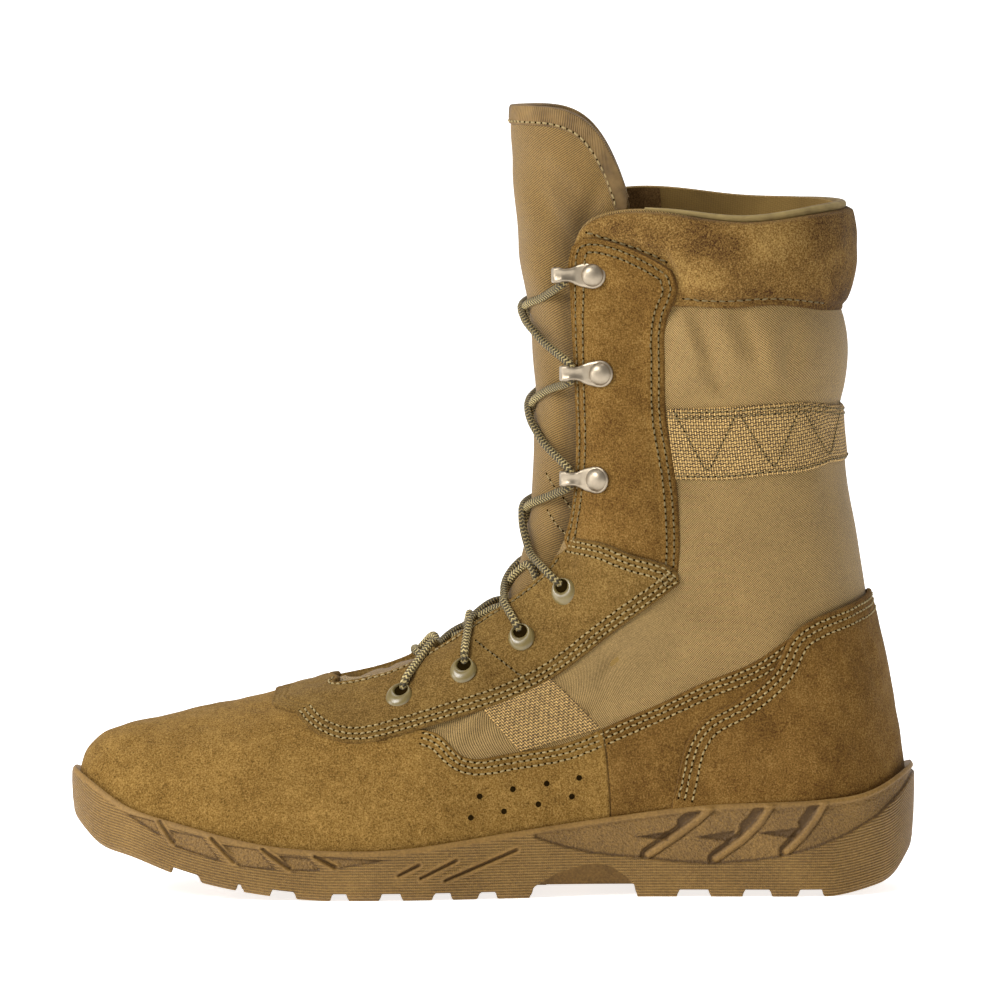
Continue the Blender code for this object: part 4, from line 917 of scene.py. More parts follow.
def cuff_pad(places, across, along, width):
    """The foam's swell over the cuff: fuller near its lower edge, thinner where the cuff narrows in front,
    and none beside the facings, whose top ends lie over its front parts."""
    x, _, z = np.moveaxis(on(places), -1, 0)
    behind = x - np.interp(z, *np.transpose(FACING_BACK)[::-1])
    clear = np.maximum(behind, z - np.interp(x, *np.transpose(FACING_END)))
    deep = np.minimum(width / 30.0, 1.0) ** 1.3 * (1 - hump(np.maximum(clear - 1.0, 0), 5.0))
    start = CUFF_ROWS[0] * 0.8
    above = np.clip((across * width - start) / np.maximum(width - start, 1e-6), 0, 1)
    return CUFF_PAD * deep * np.sin(np.pi * np.clip(above * 0.93, 0, 1)) ** 0.55


cuff_low = np.concatenate([[CUFF_BACK], drawn(CUFF_LOW)])[::-1]
cuff_rim = level(CUFF_FRONT, 180.0, CUFF_T, 50)
cuff = panel("collar_cuff", mirrored(cuff_low, 180), mirrored(cuff_rim, 180), 0.0, CUFF_THICK, cuff_suede,
             pad=cuff_pad, wave=0.22, sewn=(CUFF_ROWS, (), ()))


def points_of(*pieces):
    """The points of pieces in millimetres."""
    found = []
    for piece in pieces:
        points = np.empty(len(piece.data.vertices) * 3)
        piece.data.vertices.foreach_get("co", points)
        found.append(points.reshape(-1, 3) / MM)
    return np.concatenate(found)


x, _, z = points_of(cuff).T
# Painted shade: the cuff darkens toward its back, where it turns away from the light; a band just above its
# lower edge and the listed places are darker, or paler.
painted_shade_and_marks = 0.5 * soft(x - 112, 26) + 0.4 * hump(z - np.interp(x, *np.transpose(CUFF_LOW[4::-1])) - 4, 3.5)
for mark_x, mark_z, wide, strength in CUFF_MARKS:
    painted_shade_and_marks += strength * np.exp(-((x - mark_x) ** 2 + 1.6 * (z - mark_z) ** 2) / wide ** 2)
mark(cuff, "shade", painted_shade_and_marks)
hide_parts("cuff")

INNER_FROM, INNER_TO, INNER_T, INNER_COLUMNS, INNER_ROWS = 126.0, 144.5, (0.86, 0.999), 12, 20
INNER_LIFT = 0.25               # over the lining
inner_suede = suede("inner_suede", (0.0641, 0.03322, 0.01082), (0.14, 0.076, 0.026),
                    (0.2275, 0.1355, 0.0505), 0.01)
inner_uv = np.stack(np.meshgrid(np.linspace(0, 25, INNER_COLUMNS), np.linspace(0, 30, INNER_ROWS)), -1)
for name, (low, high) in sided(*(level(INNER_FROM, INNER_TO, t, INNER_COLUMNS) for t in INNER_T)):
    angle, t = np.moveaxis(low + np.linspace(0, 1, INNER_ROWS)[:, None, None] * (high - low), -1, 0)
    patch = last(angle, t) - outward(angle, t * 0.99) * (WALL + INNER_LIFT)
    faces = grid_faces(INNER_ROWS, INNER_COLUMNS)[:, ::1 if name == "far" else -1]
    inner = add_piece("inner_facing_" + name, patch, faces, inner_uv, inner_suede)
    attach(inner, "root")


def tube(path, radius, sides):
    """Round rod along a path: a ring square to the way at each point, kept from twisting by one fixed
    direction. Gives points, faces and a cloth map of shares of the way round and millimetres along."""
    path = np.asarray(path, float)
    along = unit(np.gradient(path, axis=0))
    side = unit(np.cross(along, np.array([0.13, 0.31, 0.94])))
    up = np.cross(side, along)
    turn = np.linspace(0, 2 * np.pi, sides + 1)[None, :, None]
    radius = np.broadcast_to(radius, (len(path),))[:, None, None]
    ring = path[:, None] + radius * (side[:, None] * np.cos(turn) + up[:, None] * np.sin(turn))
    uv = np.stack(np.meshgrid(np.linspace(0, 1, sides + 1), walked(path)), -1)
    return ring.reshape(-1, 3), grid_faces(len(path), sides + 1), uv.reshape(-1, 2)


ROLL_RADIUS, ROLL_FROM, ROLL_STEPS = 1.7, 142.3, 260
binding, tree = new_material("rim_binding", 0.8)
bump(tree, noise(tree, 0.0008), 0.3, 0.0002)
round_it = calc(tree, "ABSOLUTE", calc(tree, "SUBTRACT", cloth_map(tree)[0], 0.5))
inner_half = calc(tree, "LESS_THAN", round_it, 0.33)
dye(tree, blend(tree, (noise(tree, 0.006), 1.0), (inner_half, -0.3)),
    (0.1, 0.115, 0.068, 0.0155), (0.35, 0.185, 0.128, 0.040), (0.65, 0.25, 0.177, 0.058))
roll_angle, share = np.linspace(ROLL_FROM, 360 - ROLL_FROM, ROLL_STEPS), np.linspace(0.0, 1.0, ROLL_STEPS)
roll_far = soft(roll_angle - 186, 26)       # on the outer side the roll is thinner and stands further out
roll_path = last(roll_angle, 1.0) - outward(roll_angle, 0.99) * (0.6 - 0.9 * roll_far)[:, None]
roll_path[:, 2] += 0.4 - 1.2 * roll_far
taper = np.sin(np.pi * np.clip(share, 0.02, 0.98)) ** 0.35
roll = add_piece("rim_roll", *tube(roll_path, (ROLL_RADIUS - 0.55 * roll_far) * taper, 14), binding)
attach(roll, "root")


# Webbing: a woven nylon tape sewn round the ankle between the facings, and a short strap of it over the
# nylon window at each side of the instep.
WEB_TOP = [(61.5, 173.8), (79.7, 174.6), (94.8, 175.4), (109.8, 176.2)]
WEB_LOW = [(64.3, 148.7), (84.7, 148.8), (99.8, 150.3), (109.8, 151.1), (119.8, 153.7)]
WEB_BACK_TOP, WEB_BACK_LOW = (180.0, 0.757), (180.0, 0.672)
STRAP_TOP, STRAP_LOW = [(-4.5, 67.9), (19.3, 79.2)], [(9.6, 52.0), (38.2, 60.2)]
WEB_THICK, STRAP_THICK, WEB_WAVE = 1.1, 1.0, 0.06
web_tape, tree = new_material("webbing_tape", 0.8)
height, over = weave(tree, 0.92, 1.15, 1.0, 0.0005)
# Painted light: the threads' backs are lighter and the gaps between them darker.
dye(tree, blend(tree, (height, 0.8), (over, 0.16), (noise(tree, 0.0014), 0.6), plus=-0.42),
    (0.18, 0.03, 0.015, 0.003), (0.5, 0.25, 0.146, 0.040), (0.82, 0.68, 0.435, 0.145))


def over_nylon(places):
    """The tape lies on the nylon, which stands off the form a little."""
    return nylon_height(on(places)) * 0.5


web_low = np.concatenate([drawn(WEB_LOW), [WEB_BACK_LOW]])
web_top = np.concatenate([drawn(WEB_TOP), [WEB_BACK_TOP]])
ankle_tape = panel("ankle_tape", mirrored(web_low, 180), mirrored(web_top, 180), over_nylon, WEB_THICK,
                   web_tape, wave=WEB_WAVE)
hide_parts("shaft_webbing")
for name, edges in sided(drawn(STRAP_LOW, 20, True), drawn(STRAP_TOP, 20, True)):
    strap = panel("instep_strap_" + name, *edges, over_nylon, STRAP_THICK, web_tape, wave=WEB_WAVE, step=0.9)
    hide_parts("instep_webbing_" + name)


# Tongue: nylon over foam, a gutter in section, sewn in under the vamp and standing above the collar. A
# folded tape is sewn over its top edge.
TONGUE_THICK = 3.0
TONGUE = np.array([
    # front x, front z, edge x, edge y, edge z, droop
    (-66.0, 66.5, -61.0, 13.0, 63.5, 1.0), (-45.0, 73.8, -40.0, 18.0, 69.0, 1.0),
    (-25.0, 80.8, -18.0, 20.0, 74.5, 1.0), (-6.0, 92.6, 4.0, 19.8, 84.0, 1.0),
    (4.5, 104.0, 19.0, 18.6, 94.5, 1.0), (10.8, 121.0, 34.0, 18.6, 110.0, 1.0),
    (13.5, 142.0, 41.0, 20.2, 135.0, 1.0), (14.8, 180.0, 44.0, 24.0, 178.0, 1.0),
    (11.5, 215.0, 45.0, 25.0, 211.0, 1.0), (8.6, 237.0, 46.5, 25.5, 226.0, 1.2),
    (6.7, 258.0, 47.5, 26.0, 236.0, 2.0), (5.9, 272.0, 48.0, 26.5, 242.0, 3.2),
    (6.6, 280.3, 48.4, 26.5, 246.0, 4.0)])
TONGUE_FROM, TONGUE_END = 0.3, 12.0         # rows at its foot and at its top edge
TONGUE_FOLDS = np.array([
    # x1, z1, x2, z2, half width, height
    (34, 246, 26, 220, 4.0, -1.8), (14, 226, 24, 200, 5.0, 1.2), (20, 196, 30, 168, 4.0, -1.3),
    (16, 168, 30, 150, 4.0, 1.0), (20, 138, 34, 142, 2.5, -1.2), (14, 130, 30, 132, 2.2, 1.0),
    (16, 122, 30, 126, 2.0, -0.9), (10, 262, 22, 256, 6.0, -0.8), (22, 232, 27, 206, 3.0, -0.9),
    (12, 244, 17, 216, 4.0, 0.8), (40, 258, 32, 236, 3.0, -1.4), (24, 178, 26, 158, 2.5, -0.8),
    (-50, 69, -28, 80, 7.0, 3.6), (-40, 72, -34, 80, 1.6, -1.0), (16, 250, 30, 226, 3.5, -1.4),
    (22, 262, 34, 250, 3.5, 1.0)])


def tongue_at(row, bend):
    """Outer face of the tongue: a row (counted from the vamp up) bends back from its front to its edges
    as a quarter of an oval; droop shapes the top."""
    row, bend = np.broadcast_arrays(np.asarray(row, float), np.asarray(bend, float))
    rows = spline(np.arange(len(TONGUE)), TONGUE, row)
    front_x, front_z, edge_x, edge_y, edge_z, droop = np.moveaxis(rows, -1, 0)
    share = 1 - np.cos(bend)
    return np.stack([front_x + (edge_x - front_x) * share, edge_y * np.sin(bend),
                     front_z + (edge_z - front_z) * np.maximum(share, 1e-6) ** droop], -1)


def tongue_inward(row, bend):
    """Unit normal of the tongue's outer face, pointing into the boot."""
    row, bend = np.asarray(row), np.asarray(bend)
    return unit(np.cross(tongue_at(row, bend + 0.01) - tongue_at(row, bend - 0.01),
                         tongue_at(row + 0.02, bend) - tongue_at(row - 0.02, bend)))


def tongue_rise(row, bend):
    """Height of the tongue's folds and waves over its plain form, none at its top edge."""
    face = tongue_at(row, bend)
    rise = creased(face, TONGUE_FOLDS) * np.abs(np.cos(bend)) ** 0.3 + 0.25 * ripple(face, 24, 9)
    return rise * soft(TONGUE_END - row - 0.25, 0.5)


tongue_cloth, tree = new_material("tongue_cloth", 0.78, Sheen_Weight=0.1, Specular_IOR_Level=0.3)
tone = woven_tone(tree, *weave(tree, 0.42, 0.42, 0.6, 0.00018))
dye(tree, blend(tree, (tone, 1.0), (tagged(tree, "shade"), -0.5)),
    (0.05, 0.05, 0.027, 0.005), (0.5, 0.162, 0.0925, 0.0218), (0.95, 0.31, 0.183, 0.048))
TONGUE_ROWS, TONGUE_ACROSS = 180, 90
bend, row = np.meshgrid(np.linspace(-1, 1, TONGUE_ACROSS) * np.pi / 2,
                        np.linspace(TONGUE_FROM, TONGUE_END, TONGUE_ROWS))
face, within = tongue_at(row, bend), tongue_inward(row, bend)
outer_face = face - within * tongue_rise(row, bend)[..., None]
inner_face = face + within * TONGUE_THICK
loop = np.concatenate([outer_face, inner_face[:, ::-1]], 1)
flat = cloth_of(face)
faces = grid_faces(TONGUE_ROWS, 2 * TONGUE_ACROSS, around=True)
first = np.arange(2 * TONGUE_ACROSS)
halves = first[:TONGUE_ACROSS], first[::-1][:TONGUE_ACROSS]
cap = np.stack([halves[0][:-1], halves[0][1:], halves[1][1:], halves[1][:-1]], -1)
faces = np.concatenate([faces, cap[:, ::-1], cap + (TONGUE_ROWS - 1) * len(first)])
tongue = add_piece("tongue_pad", loop, faces, np.concatenate([flat, flat[:, ::-1]], 1), tongue_cloth)
SHADE_BEND, SHADE_ROW = 52.0, 9.8      # its sides are darker than its front, below the collar
# Painted shade: the tongue's sides, deep in the throat beside the facings, are darker than its front.
shade = soft(np.degrees(np.abs(bend)) - SHADE_BEND, 20) * soft(SHADE_ROW - row, 1.2)
mark(tongue, "shade", np.concatenate([shade, 0 * shade], 1))
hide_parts("tongue")
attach(tongue, "root")

TAPE_WIDE, TAPE_THICK, TAPE_CORD = 6.4, 1.0, 0.85
TAPE_LOWEST = 10.2              # row where the tape's ends stop, inside the collar


def inside_edge(gap):
    """Rows and bends of a line beside the tongue's top edge, the gap away from it on its outer face."""
    bend = np.linspace(-1, 1, 240) * (np.pi / 2 - 0.02)
    row = np.full(bend.shape, TONGUE_END)
    along = unit(np.gradient(tongue_at(row, bend), axis=0))
    for _ in range(6):
        by_row = (tongue_at(row + 0.01, bend) - tongue_at(row - 0.01, bend)) / 0.02
        square = by_row - along * (by_row * along).sum(1, keepdims=True)
        row = np.maximum(row - gap / 6 / np.linalg.norm(square, axis=1), TAPE_LOWEST)
    return row, bend


tape_cloth, tree = new_material("tongue_tape", 0.8)
across, along = cloth_map(tree)
cords = sine(tree, across, TAPE_CORD)
bump(tree, cords, 0.7, 0.0003)
lower_edge = calc(tree, "LESS_THAN", along, 0.6)
# Painted light: the cords' crests are lighter.
dye(tree, blend(tree, (noise(tree, 0.008), 1.0), (cords, 0.16), (lower_edge, -0.4)),
    (0.15, 0.05, 0.028, 0.008), (0.5, 0.172, 0.099, 0.028), (0.8, 0.275, 0.165, 0.051))
low_row, bend = inside_edge(TAPE_WIDE)
share = np.concatenate([[0, 0.02, 0.05, 0.1], np.linspace(0.15, 1, 12)])[:, None]
tape_row = low_row * (1 - share) + TONGUE_END * share
tape_bend = np.broadcast_to(bend, tape_row.shape)
tape_face, tape_within = tongue_at(tape_row, tape_bend), tongue_inward(tape_row, tape_bend)
lift = TAPE_THICK * np.sqrt(1 - (1 - np.clip(share * TAPE_WIDE / 0.7, 0, 1)) ** 2) - 0.15
lift = lift + 0.4 * ripple(tape_face, 6, 12) * np.sin(np.pi * share) + tongue_rise(tape_row, tape_bend)
over_face = tape_face - tape_within * lift[..., None]
back_face = (tape_face + tape_within * (TONGUE_THICK + lift[..., None]))[::-1]
round_top = np.linspace(0, np.pi, 9)[1:, None, None]
edge, within = tongue_at(TONGUE_END, bend), tongue_inward(TONGUE_END, bend)
upward = unit(np.cross(np.gradient(edge, axis=0), within))
upward *= np.sign(upward[len(upward) // 2, 2])
half = TONGUE_THICK / 2 + TAPE_THICK - 0.1
over_top = edge + within * TONGUE_THICK / 2 - within * half * np.cos(round_top)
over_top = over_top + upward * 0.6 * np.sin(round_top)
tape_points = np.concatenate([over_face, over_top[:-1], back_face])
uv = np.stack(np.meshgrid(walked(edge), walked(tape_points).mean(1)), -1)
tape = add_piece("tongue_tape", tape_points, grid_faces(*tape_points.shape[:2]), uv, tape_cloth)
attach(tape, "root")


# Eyelets: four pressed metal rings each side, painted to match and clinched through the eyestay; they are
# drop shaped, with the hole toward the throat.
EYELETS = [(-32.8, 70.1), (-10.2, 79.5), (10.2, 91.8), (25.6, 108.3)]
EYELET_RADIUS, EYELET_BACK, EYELET_LIFT, EYELET_SIDES = 5.0, 0.6, 0.3, 28
HOLE_RADIUS, HOLE_OFF, WELL_SHARE, WELL_HIGH = 2.5, 1.7, 1.03, 0.15     # the dark disc is a little wider
EYELET_PROFILE = np.array([
    # share of the way out from the hole, height
    (0.0, -1.6), (0.0, 0.3), (0.10, 0.95), (0.28, 1.2), (0.5, 1.1), (0.75, 0.75), (0.93, 0.25), (1.0, -0.3)])


def seat(place, height):
    """Frame on the form at an (angle, t) place: its point, forward over the throat, up and outward."""
    angle, t = place
    out = outward(angle, t)
    forward = last(angle, t + 0.01) - last(angle, t)
    forward = unit(forward - out * forward.dot(out))
    return last(angle, t) + out * height, forward, np.cross(out, forward), out


def joined(name, parts, material):
    """One mesh of many parts, each a (points, faces) or (points, faces, uv) set."""
    points, faces, *uv = zip(*parts)
    starts = np.cumsum([0] + [len(part) for part in points])
    faces = np.concatenate([part + start for part, start in zip(faces, starts)])
    piece = add_piece(name, np.concatenate(points), faces, np.concatenate(uv[0]) if uv else None, material)
    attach(piece, "root")
    return piece


def each_side(places):
    """Near and far copies of places."""
    return np.concatenate([places, other_side(places)])


def fan(sides):
    """Three-cornered faces from a ring of points to the point that follows them."""
    ring = np.arange(sides)
    return np.stack([ring, (ring + 1) % sides, np.full(sides, sides)], -1)


def plain(name, roughness, size, dark, light, relief=None, **constants):
    """Material of a nearly even colour between two, uneven over the size given; relief is the size, strength
    and depth of its bumps."""
    material, tree = new_material(name, roughness, **constants)
    dye(tree, noise(tree, size), (0.3, *dark), (0.7, *light))
    if relief:
        bump(tree, noise(tree, relief[0]), *relief[1:])
    return material


painted = plain("eyelet_paint", 0.36, 0.004, (0.125, 0.090, 0.026), (0.16, 0.117, 0.036),
                (0.0006, 0.08, 0.0001), Coat_Weight=0.35, Coat_Roughness=0.2)
# Near-black discs of painted shade in the eyelets' holes, the vent holes and the needle's holes.
well = plain("painted_hole_shade", 1.0, 0.002, (0.007, 0.004, 0.001), (0.016, 0.009, 0.002), Specular_IOR_Level=0.0)
turn = np.arange(EYELET_SIDES) * 2 * np.pi / EYELET_SIDES
circle = np.stack([np.cos(turn), np.sin(turn)], -1)
hole = HOLE_RADIUS * circle + (HOLE_OFF, 0)
body = np.stack([EYELET_RADIUS * np.cos(turn) - EYELET_BACK,
                 EYELET_RADIUS * (0.97 + 0.03 * np.cos(turn)) * np.sin(turn)], -1)
share, high = EYELET_PROFILE.T[..., None, None]
ring = np.concatenate([hole * (1 - share) + body * share,
                       np.broadcast_to(high, (len(high), EYELET_SIDES, 1))], -1)
# The disc is painted shade, the inside of the boot seen through the eyelet's hole.
disc = np.concatenate([HOLE_RADIUS * WELL_SHARE * circle, [(0, 0)]]) + (HOLE_OFF, 0)
disc = np.concatenate([disc, np.full((len(disc), 1), WELL_HIGH)], 1)
eyelet_places = find(EYELETS)
rings, wells = [], []
for place in each_side(eyelet_places):
    point, *turned = seat(place, vamp_under(place[0]) + EYESTAY_THICK + EYELET_LIFT)
    rings.append((point + ring.reshape(-1, 3) @ turned, grid_faces(len(ring), EYELET_SIDES, around=True)))
    wells.append((point + disc @ turned, fan(EYELET_SIDES)))
eyelets = joined("eyelets", rings, painted)
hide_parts(*["eyelet_%s_%d" % (side, n) for side in ("near", "far") for n in (1, 2, 3, 4)])
joined("eyelet_holes", wells, well)


# Hooks: three each side, a pressed metal plate held by a domed rivet, its neck raised at the end into a
# ribbed bar that the lace runs behind.
HOOKS = [(37.6, 148.4), (38.4, 186.2), (35.6, 221.1)]
HOOK_LIFT = 1.9                 # over the facing
DOME = np.array([
    # radius, height
    (0.3, 2.55), (1.2, 2.5), (2.3, 2.25), (3.2, 1.75), (3.8, 1.15), (4.05, 0.75), (4.1, 0.55), (4.55, 0.5),
    (4.75, 0.3), (4.75, -0.2)])
DOME_SIDES = 32
PLATE = np.array([
    # forward, half width, height
    (-2.0, 1.5, 0.25), (0.0, 4.5, 0.3), (2.0, 4.5, 0.3), (4.0, 4.1, 0.3), (6.0, 3.35, 0.4), (7.6, 2.65, 0.7),
    (8.8, 2.4, 1.2), (9.8, 2.35, 1.8), (10.8, 2.45, 2.1), (11.5, 2.8, 2.15), (13.0, 2.8, 2.05),
    (14.0, 2.75, 1.4), (14.6, 2.5, 0.4), (14.5, 2.1, -0.5)])
PLATE_THICK, RIDGE, PLATE_STEPS = 0.75, 0.55, 60
NECK_FROM, NECK_TO = 6.6, 13.6  # the stretch with raised ridges
PLATE_ROUND = np.array([
    # across, above and ridged, over the top and back below
    (-1, 0.5, 0), (-0.93, 0.9, 0.2), (-0.72, 1, 1), (-0.5, 1, 0.25), (0, 1, 0), (0.5, 1, 0.25), (0.72, 1, 1),
    (0.93, 0.9, 0.2), (1, 0.5, 0), (0.95, 0, 0), (0, 0, 0), (-0.95, 0, 0)])
metal = plain("hook_metal", 0.4, 0.003, (0.29, 0.238, 0.17), (0.355, 0.295, 0.215), (0.004, 0.05, 0.0001),
              Metallic=0.85)
turn = np.arange(DOME_SIDES) * 2 * np.pi / DOME_SIDES
radius, high = DOME.T[..., None]
dome = np.stack([radius * np.cos(turn), radius * np.sin(turn),
                 np.broadcast_to(high, (len(DOME), DOME_SIDES))], -1)
rung = np.arange(DOME_SIDES // 2 - 1)
cap = np.stack([rung, rung + 1, DOME_SIDES - 2 - rung, DOME_SIDES - 1 - rung], -1)      # over the first ring
dome_faces = np.concatenate([grid_faces(len(DOME), DOME_SIDES, around=True)[:, ::-1], cap])
at = np.linspace(0, len(PLATE) - 1, PLATE_STEPS)
forward_at, half_at, height_at = spline(np.arange(len(PLATE)), PLATE, at).T
around, above, ridged = PLATE_ROUND.T
neck = soft(forward_at - NECK_FROM, 1.5) * soft(NECK_TO - forward_at, 1.0)
slope = unit(np.gradient(np.stack([forward_at, height_at], -1), axis=0))
rise = PLATE_THICK * (above - 0.5) + RIDGE * ridged * neck[:, None]
plate = np.stack([forward_at[:, None] - slope[:, 1:] * rise, half_at[:, None] * around,
                  height_at[:, None] + slope[:, :1] * rise], -1)
plate_faces = grid_faces(PLATE_STEPS, len(PLATE_ROUND), around=True)
hook_places = find(HOOKS)


def hook_seat(place):
    """Frame of a hook on the facing: as a seat, but forward is level with the floor."""
    point, _, _, out = seat(place, HOOK_LIFT)
    forward = unit(np.array([-1.0, 0, 0]) + out * out[0])
    return point, forward, np.cross(out, forward), out


parts = []
for place in each_side(hook_places):
    point, *turned = hook_seat(place)
    parts.append((point + dome.reshape(-1, 3) @ turned, dome_faces))
    parts.append((point + plate.reshape(-1, 3) @ turned, plate_faces))
hooks = joined("hooks", parts, metal)
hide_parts(*["hook_%s_%d" % (side, n) for side in ("near", "far") for n in (1, 2, 3)])


# Lace: a round braided cord, out through each eyelet, over the throat's edge and under the other one; higher
# up it passes behind the hooks' bars. Its ends stop behind the top hooks.
LACE = 2.9
CROSSINGS = np.array([
    # rows of the tongue at its start, middle and end, height over it, bend
    (2.30, 2.55, 2.85, 4.2, 22.0), (2.85, 3.15, 3.70, 4.6, 24.0), (3.95, 4.30, 4.90, 2.9, 32.0),
    (5.05, 5.78, 5.98, 2.9, 34.0), (6.53, 6.83, 7.00, 2.8, 36.0), (7.45, 7.77, 7.93, 2.8, 36.0)])
BAR_ROW, BAR_OVER, BAR_BEND, UNDER = 1.95, 5.8, 20.0, 1.5
LEANS, TUCKS = (1.0, -1.0, -3.5, -2.4), (3.0, 3.0, 3.5, 5.0)    # degrees along the edge from each eyelet
HOOK_BEHIND, HOOK_REACH, HOOK_DROP = 9.6, 10.6, 3.1
LACE_STEPS, CORNER, YARN, LACE_TWIST = 150, 7.0, 1.55, 90.0
lace_braid, tree = new_material("lace_braid", 0.7)
round_it, along = cloth_map(tree)
turns = calc(tree, "MULTIPLY", round_it, 6.0)
slant = calc(tree, "PINGPONG", turns, 0.5)
yarns = sine(tree, blend(tree, (along, 1 / YARN), (slant, 0.8)), 1.0)
bump(tree, blend(tree, (yarns, 1.0), (sine(tree, turns, 1.0, "COSINE"), 0.4)), 0.8, 0.0003)
dark_half = sine(tree, blend(tree, (round_it, 1.0), (along, 1 / LACE_TWIST)), 1.0)
dye(tree, blend(tree, (yarns, 0.34), (dark_half, 0.16), plus=0.44),
    (0.2, 0.033, 0.023, 0.006), (0.5, 0.15, 0.105, 0.032), (0.9, 0.62, 0.49, 0.21))


def over_tongue(rows, over, bend):
    """Cord points over the tongue from near to far, at rows given for its start, middle and end."""
    share = np.array([-1, -0.4, 0, 0.4, 1])
    rows, bends = np.interp(share, [-1, 0, 1], rows), np.radians(bend) * share
    return tongue_at(rows, bends) - tongue_inward(rows, bends) * over


def lace_ends():
    """Cord points on the near side at each eyelet and hook, outermost first: those of the strand that goes
    down from it, which comes from under the throat's edge at an eyelet, and of the one that goes up."""
    ends = []
    for place, lean, tuck in zip(eyelet_places, LEANS, TUCKS):
        over = vamp_under(place[0]) + EYESTAY_THICK
        point, forward, _, out = seat(place, over)
        low, high = place[0] - tuck, place[0] + lean
        tucked = [last(low, 0.97) - outward(low, 0.97) * 3.6,
                  last(low, 1.0) - outward(low, 0.99) * 1.6 + (0, 0, 0.4)]
        hole_at = point + forward * HOLE_OFF
        edge = last(high, 1.0) + outward(high, 0.99) * (over + LACE / 2 + 0.3)
        way = edge - hole_at
        way = unit(way - out * way.dot(out))
        rising = [hole_at - out * 2.0 + way * 0.8, hole_at + out * 0.9 + way * 1.2,
                  hole_at + way * 4.0 + out * 1.9, edge]
        ends.append([tucked, rising])
    for place in hook_places:
        point, forward, up, out = hook_seat(place)
        drop = up * np.sign(up[2]) * HOOK_DROP
        behind, start = point + forward * HOOK_BEHIND - out * 0.4, point + forward * HOOK_REACH + out * 0.3
        ends.append([[behind, start - drop], [behind, start + drop]])
    return ends


def strand(start, middle, stop):
    """Dense taut run of cord points through those at its two ends and over the tongue: straight between
    them, with its corners rounded by a running mean."""
    points = np.concatenate([start, middle, stop])
    walk = walked(points)
    path = read_at(np.linspace(0, walk[-1], LACE_STEPS), walk, points)
    reach = np.linspace(-2, 2, 2 * int(CORNER / (walk[-1] / (LACE_STEPS - 1))) + 1)
    weight = hump(reach, 1.0) / hump(reach, 1.0).sum()
    path = np.pad(path, ((len(reach) // 2, len(reach) // 2), (0, 0)), "edge")
    return np.stack([np.convolve(column, weight, "valid") for column in path.T], -1)


def lace_strands():
    """Paths of the bar at the foot of the throat and of both strands of each crossing."""
    ends, flip = lace_ends(), np.array([1.0, -1.0, 1.0])
    tucked = np.array(ends[0][0])
    paths = [strand(tucked, over_tongue([BAR_ROW] * 3, BAR_OVER, BAR_BEND), tucked[::-1] * flip)]
    for number, (*rows, over, bend) in enumerate(CROSSINGS):
        start, stop = np.array(ends[number][1]), np.array(ends[number + 1][0])[::-1] * flip
        paths.append(strand(start, over_tongue(rows, over, bend), stop))
        paths.append(strand(start, over_tongue(rows, over - UNDER, bend), stop) * flip)
    return paths


lace = joined("lace", [tube(path, LACE / 2, 12) for path in lace_strands()], lace_braid)
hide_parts("lace_bar", *["lace_crossing_%d" % n for n in range(1, 7)])


# Footbed: thin foam with a knit cover, laid loose inside on the sole. It is hardly seen, so the solid
# itself is shown, with a material of its own.
footbed, tree = new_material("footbed_knit", 0.95)
dye(tree, noise(tree, 0.0015), (0.35, 0.05, 0.042, 0.022), (0.65, 0.085, 0.07, 0.038))
bump(tree, noise(tree, 0.0009), 0.4, 0.0003)
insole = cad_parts["insole"]
insole.data.materials.clear()
insole.data.materials.append(footbed)


# Stitching: bonded thread through the suede in rows beside the cut edges, pale khaki on the lower pieces and
# dark olive above, with the needle's holes shown as dark points of painted shade between the stitches.
STITCH, THREAD = 2.35, 0.34     # length of one stitch and half the thread's thickness
STITCH_FORM = np.array([
    # share of the stitch, height and thickness over half the thread's
    (0.12, -0.7, 0.55), (0.27, 0.5, 0.95), (0.5, 0.85, 1.0), (0.73, 0.5, 0.95), (0.88, -0.7, 0.55)])
THREAD_SIDES = 6
PRICK, PRICK_LIFT, PRICK_CROWN, PRICK_LONG = 0.42, 0.07, 0.09, 1.25     # the needle's holes
SLANT, SHIFT = 0.12, 0.06       # how unevenly stitches lie, turned and moved sideways
khaki = plain("thread_khaki", 0.6, 0.003, (0.22, 0.155, 0.055), (0.34, 0.252, 0.10), (0.0003, 0.3, 0.0001))
olive = plain("thread_olive", 0.6, 0.003, (0.095, 0.065, 0.018), (0.18, 0.128, 0.041), (0.0003, 0.3, 0.0001))


def beside(places, gap):
    """A line of places moved sideways on the form, to the left of its way for a positive gap."""
    places = cut_at(places, np.linspace(0, 1, max(int(run_length(places)), 8)))
    for _ in range(4):
        side = unit(np.cross(out_of(places), np.gradient(on(places), axis=0))) * gap / 4
        by_angle, by_t = slopes(places[:, 0], places[:, 1])
        slope = np.stack([by_angle / 0.1, by_t / 0.001], -1)
        turned = np.swapaxes(slope, 1, 2)
        places = places + np.linalg.solve(turned @ slope, turned @ side[..., None])[..., 0]
        smooth = np.concatenate([places[:1], (places[:-2] + 2 * places[1:-1] + places[2:]) / 4, places[-1:]])
        places = cut_at(smooth, np.linspace(0, 1, len(places)))
    return places


def resting(line, out, surface):
    """A line moved along its normals onto the points of a surface that are nearest to it sideways."""
    rise = out @ surface.T - (line * out).sum(1)[:, None]
    gap = (line ** 2).sum(1)[:, None] + (surface ** 2).sum(1) - 2 * line @ surface.T - rise ** 2
    gap = np.where((rise > 12) | (rise < -3), 1e6, gap)         # not the boot's other side or a piece's back
    near = np.argpartition(gap, 4, axis=1)[:, :4]
    weight = 1 / (np.maximum(np.take_along_axis(gap, near, 1), 0) + 0.05)
    height = (np.take_along_axis(rise, near, 1) * weight).sum(1) / weight.sum(1)
    height[2:-2] = np.convolve(height, np.ones(5) / 5, "valid")
    return line + out * height[:, None]


